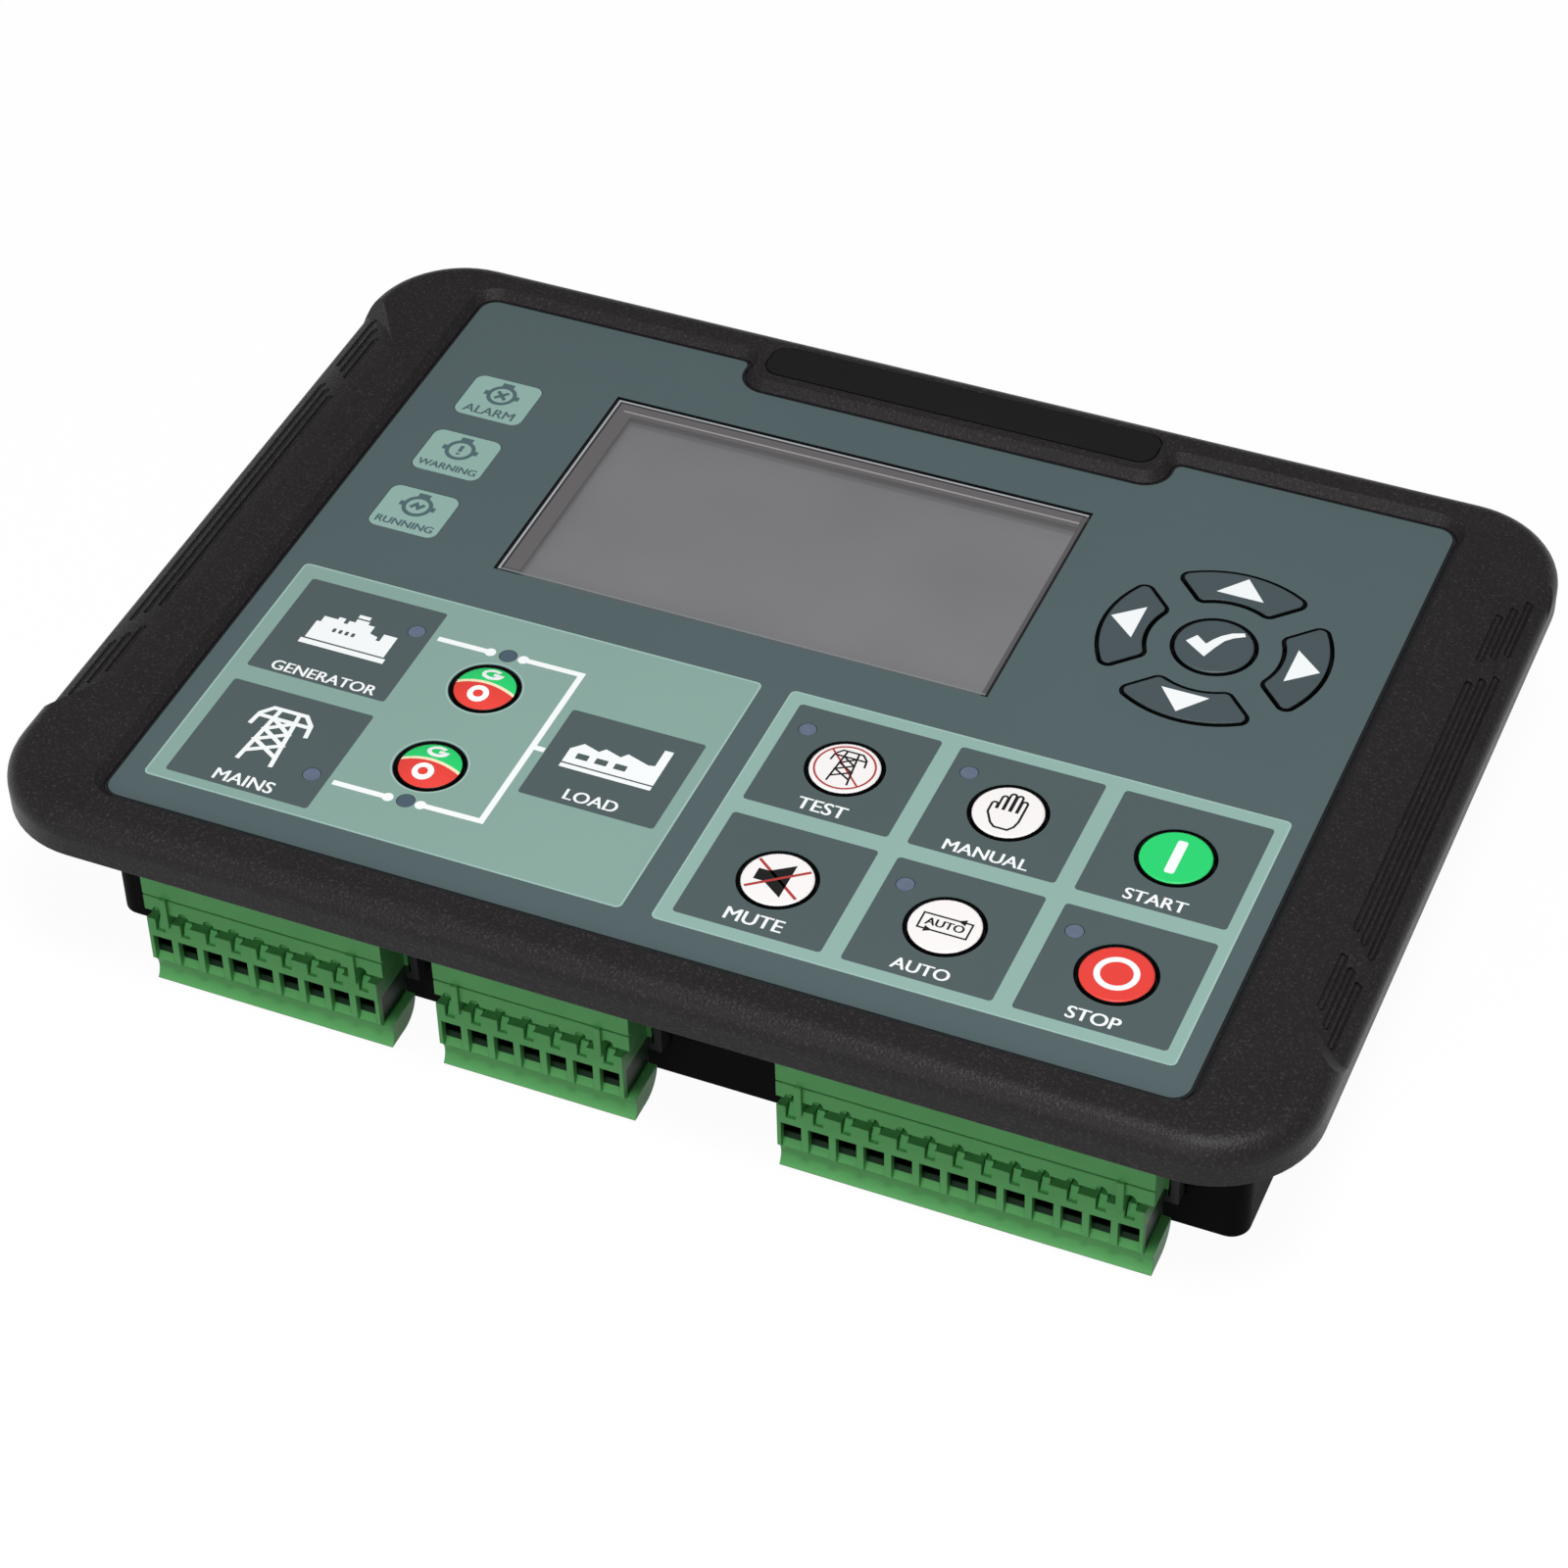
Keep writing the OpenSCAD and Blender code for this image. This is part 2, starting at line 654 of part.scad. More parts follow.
module rear_housing() color("#1b1b1d") {
    difference() {
        translate([0, housing_y, 0]) linear_extrude(panel_z + tongue)
            rounded_rect([housing_w, housing_h], housing_r);
        difference() {
            translate([0, housing_y, wall]) linear_extrude(panel_z + tongue)
                rounded_rect([inner_w, inner_h], housing_r - wall);
            for (p = posts) translate([p.x, p.y, 0]) cylinder(d = post_d, h = front_board_z);
            for (p = board_posts) translate([p.x, p.y, 0]) cylinder(d = small_post_d, h = board_z);
        }
        for (p = posts) translate([p.x, p.y, -over]) {
            cylinder(d = screw_d + 2 * screw_gap, h = front_board_z + 2 * over);
            cylinder(d = head_d + 4 * screw_gap, h = head_depth + over);
        }
        for (p = board_posts) translate([p.x, p.y, wall]) cylinder(d = pilot_d, h = board_z);
        for (s = [-1, 1]) for (t = [-1, 1])
            translate([s * housing_w / 2, housing_y + t * slot_y, panel_z - slot_z])
            cube([4 * wall, slot_l, slot_w], center = true);
        for (p = plugs) translate([p[1], housing_low + wall / 2, header_mid_z])
            cube([header_w(p[0]) + 2 * header_gap, 2 * wall, header_h + 2 * header_gap], center = true);
    }
}

module screw(d, shank) {
    difference() {
        cylinder(d = head_d, h = head_h);
        translate([0, 0, -over]) cylinder(d = head_d * socket_share, h = head_h / 2 + over, $fn = 6);
    }
    translate([0, 0, head_h]) cylinder(d = d, h = shank);
}

module housing_screws() color("#8a8d90")
    for (p = posts) translate([p.x, p.y, head_depth - head_h])
        screw(screw_d, plate_under - head_depth - screw_gap);

// Display

// Part of the space above the glass that the frame's lip fills
lip_share = 0.6;

module lcd_backlight() color("#e4e4dc")
    translate([display_x, display_y, mat_z]) linear_extrude(backlight_t)
        square([lcd_w, lcd_h], center = true);

module lcd_glass() color("#8b898b")
    translate([display_x, display_y, mat_z + backlight_t]) linear_extrude(glass_t)
        square([lcd_w, lcd_h], center = true);

module lcd_frame() color("#9a9ca0") {
    top = mat_z + backlight_t + glass_t;
    lip = (plate_under - top) * lip_share;
    translate([display_x, display_y, mat_z]) difference() {
        linear_extrude(top - mat_z + lip)
            square([lcd_w + 2 * lcd_wall + 2 * film_gap, lcd_h + 2 * lcd_wall + 2 * film_gap], center = true);
        translate([0, 0, -over]) linear_extrude(top - mat_z + over)
            square([lcd_w + 2 * film_gap, lcd_h + 2 * film_gap], center = true);
        translate([0, 0, -over]) linear_extrude(top - mat_z + lip + 2 * over)
            square([lcd_w - 2 * window_ledge, lcd_h - 2 * window_ledge], center = true);
    }
}

module display_window() color("#777578")
    translate([display_x, display_y, window_z]) linear_extrude(window_t)
        square([window_w - 2 * film_gap, window_h - 2 * film_gap], center = true);

// Keys

module collar(place, d) {
    translate([place.x, place.y, collar_z]) cylinder(d = d + 2 * key_gap + 2 * key_collar, h = collar_t);
}

module round_key(place, d) {
    collar(place, d);
    translate([place.x, place.y, 0]) rotate_extrude() {
        translate([0, collar_z]) square([d / 2, key_top - key_edge - collar_z]);
        translate([0, collar_z]) square([d / 2 - key_edge, key_top - collar_z]);
        translate([d / 2 - key_edge, key_top - key_edge]) circle(key_edge);
    }
}

module breaker_key(place) {
    top = film_z + key_crown;
    r = (pow(breaker_d / 2, 2) + key_crown * key_crown) / (2 * key_crown);
    collar(place, breaker_d);
    translate([place.x, place.y, 0]) intersection() {
        translate([0, 0, collar_z]) cylinder(d = breaker_d, h = top - collar_z);
        translate([0, 0, top - r]) sphere(r);
    }
}

module cursor_key(turn) {
    translate([0, 0, collar_z]) linear_extrude(collar_t) cursor_shape(turn, key_gap + key_collar);
    translate([0, 0, collar_z]) linear_extrude(key_top - collar_z) cursor_shape(turn, 0);
}

module key_up() color("#4a565b") cursor_key(0);
module key_left() color("#4a565b") cursor_key(90);
module key_down() color("#4a565b") cursor_key(180);
module key_right() color("#4a565b") cursor_key(270);
module key_enter() color("#4a565b") round_key(cursor_c, enter_d);
module key_generator_breaker() color("#d8453f") breaker_key(breaker_keys[0]);
module key_mains_breaker() color("#d8453f") breaker_key(breaker_keys[1]);
module key_test() color("#f2efec") round_key(function_keys[0], key_d);
module key_manual() color("#f2efec") round_key(function_keys[1], key_d);
module key_start() color("#2fbf63") round_key(function_keys[2], key_d);
module key_mute() color("#f2efec") round_key(function_keys[3], key_d);
module key_auto() color("#f2efec") round_key(function_keys[4], key_d);
module key_stop() color("#e04038") round_key(function_keys[5], key_d);

// Margin of the mat round the outer keys, and above the upper rows
mat_margin = 2;
mat_rise = 5;
// Margin round a lens hole in the mat
mat_lens_gap = 0.7;
// Diameters of a dome at its foot and at its top
dome_foot = 7;
dome_d = 4.4;

module key_mat() color("#d9d6cf") {
    low = function_keys[5].y - key_d / 2 - over;
    left = breaker_x - breaker_d / 2 - mat_rise;
    right = cursor_x + cursor_out + mat_margin;
    high = display_y + cursor_out + mat_margin;
    step_y = function_keys[0].y + key_d / 2 + mat_rise;
    step_x = cursor_x - cursor_out - mat_margin + mat_space;
    translate([0, 0, mat_z]) linear_extrude(mat_t) difference() {
        union() {
            translate([left, low]) square([right - left, step_y - low]);
            translate([step_x, low]) square([right - step_x, high - low]);
        }
        for (p = lens_places) translate(p) circle(d = lens_d + 2 * mat_lens_gap);
    }
    for (p = concat(function_keys, breaker_keys, [cursor_c], cursor_middles))
        translate([p.x, p.y, mat_z]) cylinder(d1 = dome_foot, d2 = dome_d, h = collar_z - dome_space - mat_z);
}

cursor_mid = (cursor_in + cursor_out) / 2;
cursor_middles = [for (a = [90:90:360]) cursor_c + cursor_mid * [cos(a), sin(a)]];

// Indicators

// Height, length and width of a light-emitting diode
led_h = 0.8;
led_l = 1.6;
led_w = 1;

module indicator_lenses() color("#77839a")
    for (p = lens_places) translate([p.x, p.y, mat_z + led_h])
        cylinder(d = lens_d, h = film_z - mat_z - led_h);

module status_lenses() color("#96bbae")
    for (p = status_places) translate([p.x, p.y, mat_z + led_h]) linear_extrude(film_z - mat_z - led_h)
        rounded_rect([status_w, status_h], status_r);

module indicator_leds() color("#f0e9c8")
    for (p = concat(lens_places, status_places)) translate([p.x, p.y, mat_z + led_h / 2])
        cube([led_l, led_w, led_h], center = true);

// Circuit boards

board_w = inner_w - 2 * board_gap;
board_posts = [for (sx = [-1, 1]) for (y = [housing_low + board_post_low, housing_high - board_post_high])
    [sx * (housing_w / 2 - board_post_side), y]];
// Width of the main board's cut-outs round the housing's posts
notch_w = post_d + 1;

module display_board() color("#1e5a3a")
    translate([0, 0, front_board_z]) linear_extrude(board_t) difference() {
        translate([0, housing_y]) square([board_w, inner_h - 2 * board_gap], center = true);
        for (p = posts) translate(p) circle(d = screw_d + 4 * screw_gap);
    }

module main_board() color("#1e5a3a")
    translate([0, 0, board_z]) linear_extrude(board_t) difference() {
        translate([0, housing_y]) square([board_w, inner_h - 2 * board_gap], center = true);
        for (p = posts) translate(p) circle(d = notch_w);
        for (p = posts) translate([sign(p.x) * (abs(p.x) + post_d / 2), p.y]) square(notch_w, center = true);
        for (p = posts) if (p.y > 0) translate([p.x, p.y + post_d / 2]) square(notch_w, center = true);
        for (p = board_posts) translate(p) circle(d = screw_d + 4 * screw_gap);
        for (p = plugs) for (i = [0:p[0] - 1]) translate([p[1] + pole_x(p[0], i), leg_y])
            square(pin_w + 4 * clamp_gap, center = true);
    }

module board_screws() color("#8a8d90")
    for (p = board_posts) translate([p.x, p.y, board_top + head_h]) mirror([0, 0, 1])
        screw(pilot_d - 2 * screw_gap, board_top - wall - over);

// Parts on the main board

relay = [10, 20, 15];
relay_step = 14;
relay_first = [-50, -18];
// Border and depth of the hollow in a relay's top
relay_border = 2;
relay_hollow = 0.5;
link = [42, 5];
// Distance of the link from the housing's upper side
link_edge = 21;
cap_d = 10;
cap_h = 16;
cap_step = 13;
cap_first = [24, 24];
// Chamfer of a capacitor's top
cap_edge = 0.8;
chip = [14, 14, 1.4];
chip_place = [-20, 14];
coil = [12, 12, 6];
coil_place = [48, 2];
// Diameter and depth of the hollow in the coil's top
coil_hole = 7;
coil_hollow = 1;
cell_d = 20;
cell_h = 3.2;
cell_place = [-46, 22];
// Wall and floor of the cell's holder, its clearance and its height
holder_wall = 1.8;
holder_floor = 1;
holder_gap = 0.2;
holder_h = 3;

module on_board(place) {
    translate([place.x, place.y, board_top]) children();
}

module block(size) {
    translate([-size.x / 2, -size.y / 2, 0]) cube(size);
}

module board_link() color("#202022")
    on_board([0, housing_high - link_edge]) block([link.x, link.y, front_board_z - board_top]);

module relays() color("#26405e")
    for (i = [0:4]) on_board(relay_first + [i * relay_step, 0]) difference() {
        block(relay);
        translate([0, 0, relay.z - relay_hollow])
            block([relay.x - 2 * relay_border, relay.y - 2 * relay_border, over]);
    }

module capacitors() color("#2a2a35")
    for (i = [0:3]) on_board(cap_first + [i * cap_step, 0]) {
        cylinder(d = cap_d, h = cap_h - cap_edge);
        translate([0, 0, cap_h - cap_edge]) cylinder(d1 = cap_d, d2 = cap_d - 2 * cap_edge, h = cap_edge);
    }

module processor() color("#222224") on_board(chip_place) block(chip);

module power_coil() color("#3a3a3c")
    on_board(coil_place) difference() {
        block(coil);
        translate([0, 0, coil.z - coil_hollow]) cylinder(d = coil_hole, h = coil_hollow + over);
    }

module backup_cell() color("#b9bcc0")
    on_board(cell_place) translate([0, 0, holder_floor]) cylinder(d = cell_d, h = cell_h);

module cell_holder() color("#1f1f21")
    on_board(cell_place) difference() {
        cylinder(d = cell_d + 2 * (holder_wall + holder_gap), h = holder_h);
        translate([0, 0, holder_floor]) cylinder(d = cell_d + 2 * holder_gap, h = holder_h);
        translate([-cell_d, cell_d / 4, holder_floor]) cube([2 * cell_d, cell_d, holder_h]);
    }

// Terminal plugs and headers

function header_w(poles) = plug_w(poles) - 2 * plug_end + 2 * header_wall + 2 * header_gap;
header_h = tongue_h + 2 * header_wall + 2 * header_gap;
header_mid_z = board_top + header_h / 2;
leg_y = header_back + leg_reach;

// Place of the lip's hollow as shares of its radius and of the lip's height
lip_sink = 0.62;
lip_share_z = 0.55;
// Depth and height of the fine line below the flat strip
seam_deep = 0.5;
seam_h = 0.35;
// Slopes of the channel's upper and lower sides
channel_slope = [0.3, 0.4];
// Run of the straight mouth, the ramp and its crest in a wire opening, and the floor of the well behind
mouth = 0.3;
ramp = 1.2;
crest = 0.3;
well_floor = 0.6;
// Depth of a release slot behind the channel, and of its floor above the wire openings' frame line
release_deep = 0.6;
release_floor = 0.6;
release_z = wire_top + wire_frame + release_floor;
// Diameter and depth of the half-round notches above the release slots
notch_d = 1.7;
notch_deep = 1.2;
// Width of the locking ribs near both ends, distance from the outer poles, and overlap with the plug
rib_w = 1.1;
rib_x = 1.35;
rib_sink = 0.5;
rib_proud = 0.6;
// Thickness of a clamp's sheet metal, and its reach along a contact pin
sheet_t = 0.4;
blade_reach = 2;

// Side view of a plug, with Y to the right and Z up
module plug_section() {
    difference() {
        translate([plug_face, plug_z]) square([plug_deep, plug_top - plug_z]);
        translate([plug_face - lip_r * lip_sink, plug_z + lip_h * lip_share_z]) circle(lip_r);
        translate([plug_back - plug_back_r, plug_z + plug_back_r]) difference() {
            translate([0, -plug_back_r - over]) square(plug_back_r + over);
            circle(plug_back_r);
        }
        translate([plug_face - over, ledge_top]) square([over + seam_deep, seam_h]);
        polygon([[plug_face - over, channel_top], [plug_face + channel_deep, channel_top - channel_slope[0]],
            [plug_face + channel_deep, block_top - channel_slope[1]], [plug_face, block_top],
            [plug_face - over, block_top]]);
    }
    translate([plug_back - over, tongue_mid - tongue_h / 2]) square([tongue_l + over, tongue_h]);
}

module sideways(l) {
    translate([-l / 2, 0, 0]) rotate([90, 0, 90]) linear_extrude(l) children();
}

// Opening for one wire: a ramp that leads up to the clamp
module wire_section() {
    crest_y = plug_face + mouth + ramp;
    crest_z = wire_top - wire_hole;
    polygon([[plug_face - over, lip_top], [plug_face + mouth, lip_top], [crest_y, crest_z],
        [crest_y + crest, crest_z], [crest_y + crest, lip_top + well_floor],
        [clamp_front + over / 2, lip_top + well_floor], [clamp_front + over / 2, wire_top],
        [plug_face - over, wire_top]]);
}

// Hollow for one clamp, its blade and the contact pin
module clamp_hollow() {
    clamp_z = wire_top - clamp_h;
    clamp_back = clamp_front + clamp_deep;
    w = pin_w + 2 * header_gap;
    blade_z = tongue_mid - pin_w / 2 - sheet_t - clamp_gap;
    top = tongue_mid + pin_w / 2 + header_gap;
    translate([-wire_w / 2, clamp_front, clamp_z]) cube([wire_w, clamp_deep, clamp_h]);
    translate([-w / 2, clamp_back - over, clamp_z]) cube([w, over, top - clamp_z]);
    translate([-w / 2, clamp_back - over, blade_z]) cube([w, plug_deep + tongue_l, top - blade_z]);
}

module plug(poles) {
    difference() {
        sideways(plug_w(poles)) plug_section();
        for (i = [0:poles - 1]) translate([pole_x(poles, i), 0, 0]) {
            sideways(wire_w) wire_section();
            translate([-release_w / 2, plug_face - over, release_z])
                cube([release_w, channel_deep + over + release_deep, block_top - wire_top]);
            translate([0, plug_face - over, channel_top]) rotate([-90, 0, 0])
                cylinder(d = notch_d, h = notch_deep + over);
            clamp_hollow();
        }
        for (s = [-1, 1])
            translate([s * plug_w(poles) / 2, plug_back + (tongue_l + header_gap) / 2, tongue_mid])
            cube([2 * plug_end, tongue_l + header_gap, tongue_h + over], center = true);
        translate([plug_w(poles) / 2 - end_cut, plug_face - over, lip_top])
            cube([end_cut + over, plug_deep + over, channel_top - channel_slope[0] - lip_top]);
    }
    for (x = [pole_x(poles, 0) + rib_x, pole_x(poles, poles - 1) - rib_x])
        translate([x - rib_w / 2, plug_face - rib_proud, block_top - rib_sink])
        cube([rib_w, rib_proud + channel_deep + rib_sink, ledge_top - block_top + 2 * rib_sink]);
}

module plug_9() color("#4a9a55") translate([plug_9_x, 0, 0]) plug(9);
module plug_7() color("#4a9a55") translate([plug_7_x, 0, 0]) plug(7);
module plug_13() color("#4a9a55") translate([plug_13_x, 0, 0]) plug(13);

module at_poles() {
    for (p = plugs) for (i = [0:p[0] - 1]) translate([p[1] + pole_x(p[0], i), 0, 0]) children();
}

// Setback of a lever's front, of its crest and of its foot
lever_front = 0.7;
lever_crest = 1.3;
lever_foot = 0.5;
// Depth of a lever's shoulder, crest and back below the block's top
lever_drop = [1.2, 0.2, 0.5];

module release_levers() color("#6fb878") at_poles()
    sideways(release_w - 2 * clamp_gap) polygon([
        [plug_face + lever_foot, release_z], [plug_face + channel_deep + release_deep, release_z],
        [plug_face + channel_deep + release_deep, block_top - lever_drop[2]],
        [plug_face + lever_crest, block_top - lever_drop[1]],
        [plug_face + lever_front, block_top - lever_drop[0]]]);

module wire_clamps() color("#b8bcc2") at_poles() {
    w = wire_w - 2 * clamp_gap;
    back = clamp_front + clamp_deep - clamp_gap;
    blade_top = tongue_mid - pin_w / 2;
    translate([-w / 2, clamp_front + clamp_gap, wire_top - clamp_h]) difference() {
        cube([w, clamp_deep - 2 * clamp_gap, clamp_h - clamp_gap]);
        translate([sheet_t, -over, sheet_t])
            cube([w - 2 * sheet_t, clamp_deep - 2 * clamp_gap - sheet_t + over, clamp_h]);
    }
    translate([-pin_w / 2, back - sheet_t, wire_top - clamp_h])
        cube([pin_w, sheet_t, blade_top - wire_top + clamp_h]);
    translate([-pin_w / 2, back - sheet_t, blade_top - sheet_t])
        cube([pin_w, pin_front + blade_reach - back + sheet_t, sheet_t]);
}

module header(poles) {
    w = header_w(poles);
    difference() {
        translate([-w / 2, header_front, board_top]) cube([w, header_back - header_front, header_h]);
        translate([-w / 2 + header_wall, header_front - over, board_top + header_wall])
            cube([w - 2 * header_wall, tongue_l + header_gap + over, header_h - 2 * header_wall]);
        for (i = [0:poles - 1]) translate([pole_x(poles, i), header_back, tongue_mid])
            cube([pin_w + 2 * clamp_gap, 6 * header_wall, pin_w + 2 * clamp_gap], center = true);
    }
}

module header_9() color("#26282a") translate([plug_9_x, 0, 0]) header(9);
module header_7() color("#26282a") translate([plug_7_x, 0, 0]) header(7);
module header_13() color("#26282a") translate([plug_13_x, 0, 0]) header(13);

module header_pins() color("#c9c4b4") at_poles() {
    translate([-pin_w / 2, pin_front, tongue_mid - pin_w / 2])
        cube([pin_w, leg_y - pin_front + pin_w / 2, pin_w]);
    translate([-pin_w / 2, leg_y - pin_w / 2, board_z - over])
        cube([pin_w, pin_w, tongue_mid - board_z + over]);
}

front_bezel();
nameplate();
front_film();
display_window();
panel_gasket();
rear_housing();
housing_screws();
lcd_frame();
lcd_glass();
lcd_backlight();
key_up();
key_left();
key_down();
key_right();
key_enter();
key_generator_breaker();
key_mains_breaker();
key_test();
key_manual();
key_start();
key_mute();
key_auto();
key_stop();
key_mat();
indicator_lenses();
status_lenses();
indicator_leds();
display_board();
main_board();
board_screws();
board_link();
header_9();
header_7();
header_13();
header_pins();
plug_9();
plug_7();
plug_13();
release_levers();
wire_clamps();
relays();
capacitors();
processor();
power_coil();
backup_cell();
cell_holder();
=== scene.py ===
# %% [markdown]
# A controller for a generating set, dressed for its portrait. The solid pieces come ready made, at their
# real size. This lesson gives them their finishes, prints the front film and the keys, and sets up the
# camera and the light. Sizes are in millimetres where they are named, and Blender works in metres.

# %% Load the solid pieces
import json
import math

import bpy
from mathutils import Matrix, Vector

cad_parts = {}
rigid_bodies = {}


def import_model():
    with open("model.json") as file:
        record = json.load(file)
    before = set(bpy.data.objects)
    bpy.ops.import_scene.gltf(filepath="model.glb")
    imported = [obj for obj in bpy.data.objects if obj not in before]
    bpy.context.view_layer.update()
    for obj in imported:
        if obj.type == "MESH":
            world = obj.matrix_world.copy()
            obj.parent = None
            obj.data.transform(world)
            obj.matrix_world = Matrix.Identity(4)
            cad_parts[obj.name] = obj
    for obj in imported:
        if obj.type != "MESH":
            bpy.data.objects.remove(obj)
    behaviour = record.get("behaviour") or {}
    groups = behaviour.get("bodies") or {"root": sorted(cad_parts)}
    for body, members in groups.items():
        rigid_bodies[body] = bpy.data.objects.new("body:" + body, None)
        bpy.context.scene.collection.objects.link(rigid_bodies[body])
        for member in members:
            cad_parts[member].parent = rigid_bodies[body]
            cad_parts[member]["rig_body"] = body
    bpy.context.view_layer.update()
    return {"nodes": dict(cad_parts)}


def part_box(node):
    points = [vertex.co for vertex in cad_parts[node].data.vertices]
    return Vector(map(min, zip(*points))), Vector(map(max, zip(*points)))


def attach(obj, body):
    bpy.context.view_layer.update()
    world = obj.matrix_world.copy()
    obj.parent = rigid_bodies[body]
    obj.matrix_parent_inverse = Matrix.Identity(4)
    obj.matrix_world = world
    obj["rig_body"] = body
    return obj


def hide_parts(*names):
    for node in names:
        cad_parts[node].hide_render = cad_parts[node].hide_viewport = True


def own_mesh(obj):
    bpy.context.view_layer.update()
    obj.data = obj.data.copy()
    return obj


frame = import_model()
MM = 0.001
UNIT = "unit"

# %% [markdown]
# The camera stands where the photographer stood: to the right of the unit, in front of it and well above
# it, with a long lens. It could be aimed at the unit's middle by a constraint, but three plain turns also
# give the slight tilt of the picture: round the upright axis, up from the level, and a roll.

# %% Camera
CAMERA_PLACE = (189.45, -433.3, 446.34)
CAMERA_TURN = 23.923
CAMERA_RISE = 42.725
CAMERA_ROLL = -1.514
LENS = 97.465
SENSOR = 36.0
NEAREST = 10.0
QUARTER_TURN = 90


def clear_selection():
    bpy.ops.object.select_all(action="DESELECT")


clear_selection()
bpy.ops.object.camera_add()
camera = bpy.context.object
camera.data.lens = LENS
camera.data.sensor_width = SENSOR
camera.data.clip_start = NEAREST * MM
turns = ((CAMERA_TURN, "Z"), (QUARTER_TURN - CAMERA_RISE, "X"), (CAMERA_ROLL, "Z"))
aim = Matrix.Identity(4)
for degrees, axis in turns:
    aim = aim @ Matrix.Rotation(math.radians(degrees), 4, axis)
camera.matrix_world = Matrix.Translation(Vector(CAMERA_PLACE) * MM) @ aim
bpy.context.scene.camera = camera
print("camera at", [round(v, 3) for v in camera.location])

# %% [markdown]
# A finish is a small network of nodes. Written as sums, it reads like the thought behind it, so one class
# wraps a socket and answers to plus, minus, times and so on, and another keeps a material and adds any
# other node. The second also knows what most finishes here need: a colour that drifts between two tones, a
# roughness that follows a noise, and a low bump with soft edges.

# %% Helpers for finishes
MIX_A = 6
MIX_B = 7
MIX_RESULT = 2
EDGE_SAMPLES = 6
FINE_DETAIL = 3.0


class Wire:
    """A value in a finish that can be used in sums."""

    def __init__(self, finish, socket):
        self.finish = finish
        self.socket = socket

    def _sum(self, operation, a, b):
        return self.finish.node("ShaderNodeMath", {"operation": operation}, {0: a, 1: b})

    def __add__(self, other):
        return self._sum("ADD", self, other)

    def __radd__(self, other):
        return self._sum("ADD", other, self)

    def __sub__(self, other):
        return self._sum("SUBTRACT", self, other)

    def __rsub__(self, other):
        return self._sum("SUBTRACT", other, self)

    def __mul__(self, other):
        return self._sum("MULTIPLY", self, other)

    def __rmul__(self, other):
        return self._sum("MULTIPLY", other, self)

    def __truediv__(self, other):
        return self._sum("DIVIDE", self, other)

    def __rtruediv__(self, other):
        return self._sum("DIVIDE", other, self)

    def __gt__(self, other):
        return self._sum("GREATER_THAN", self, other)

    def __lt__(self, other):
        return self._sum("LESS_THAN", self, other)


class Finish:
    """A material with one main shader, built from nodes."""

    def __init__(self, name, **sockets):
        self.material = bpy.data.materials.new(name)
        self.material.use_nodes = True
        self.tree = self.material.node_tree
        self.shader = self.tree.nodes["Principled BSDF"]
        self.set(**sockets)

    def put(self, node, key, value):
        if isinstance(value, Wire):
            self.tree.links.new(value.socket, node.inputs[key])
        else:
            node.inputs[key].default_value = value

    def set(self, **sockets):
        for name, value in sockets.items():
            self.put(self.shader, name.replace("_", " "), value)
        return self

    def node(self, kind, settings=None, sockets=None, out=0):
        node = self.tree.nodes.new(kind)
        for name, value in (settings or {}).items():
            setattr(node, name, value)
        for key, value in (sockets or {}).items():
            self.put(node, key, value)
        return Wire(self, node.outputs[out])

    def place(self):
        return self.node("ShaderNodeTexCoord", out="Object")

    def axis(self, name):
        return self.node("ShaderNodeSeparateXYZ", sockets={0: self.place()}, out=name)

    def noise(self, grain_mm, detail=2.0, rough=0.5):
        sockets = {"Vector": self.place(), "Scale": 1 / (grain_mm * MM), "Detail": detail, "Roughness": rough}
        return self.node("ShaderNodeTexNoise", sockets=sockets)

    def mix(self, share, a, b):
        sockets = {0: share, MIX_A: a, MIX_B: b}
        return self.node("ShaderNodeMix", {"data_type": "RGBA"}, sockets, out=MIX_RESULT)

    def step(self, value, low, high):
        sockets = {"Value": value, "From Min": low, "From Max": high}
        return self.node("ShaderNodeMapRange", {"interpolation_type": "SMOOTHSTEP"}, sockets)

    def paint(self, share, colour, deep):
        return self.set(Base_Color=self.mix(share, colour, deep))

    def roughen(self, noise, mean, spread):
        """A roughness that follows a noise, evenly round a mean."""
        return self.set(Roughness=noise * spread + (mean - spread / 2))

    def bump(self, height, depth_mm, strength, edge_mm=0.0):
        sockets = {"Height": height, "Distance": depth_mm * MM, "Strength": strength}
        if edge_mm:
            edge_sockets = {"Radius": edge_mm * MM}
            sockets["Normal"] = self.node("ShaderNodeBevel", {"samples": EDGE_SAMPLES}, edge_sockets)
        return self.set(Normal=self.node("ShaderNodeBump", sockets=sockets))


def dress(finish, *nodes):
    for name in nodes:
        frame["nodes"][name].material_slots[0].material = finish.material


print("finish helpers ready")

# %% [markdown]
# A paint chart gives a colour as three numbers up to 255, spaced as the eye sees them. The shader counts
# light instead. The standard curve between the two has a straight foot and then a power.

# %% Colours
CHART_FULL = 255
FOOT_END = 0.04045
FOOT_SLOPE = 12.92
CURVE_SHIFT = 0.055
CURVE_POWER = 2.4


def linear(value):
    share = value / CHART_FULL
    if share <= FOOT_END:
        return share / FOOT_SLOPE
    return ((share + CURVE_SHIFT) / (1 + CURVE_SHIFT)) ** CURVE_POWER


def rgb(red, green, blue):
    """A colour as a paint chart gives it, in the numbers that the shader wants."""
    return (linear(red), linear(green), linear(blue), 1.0)


print("half of the chart's range is", round(linear(CHART_FULL / 2), 3), "of full light")

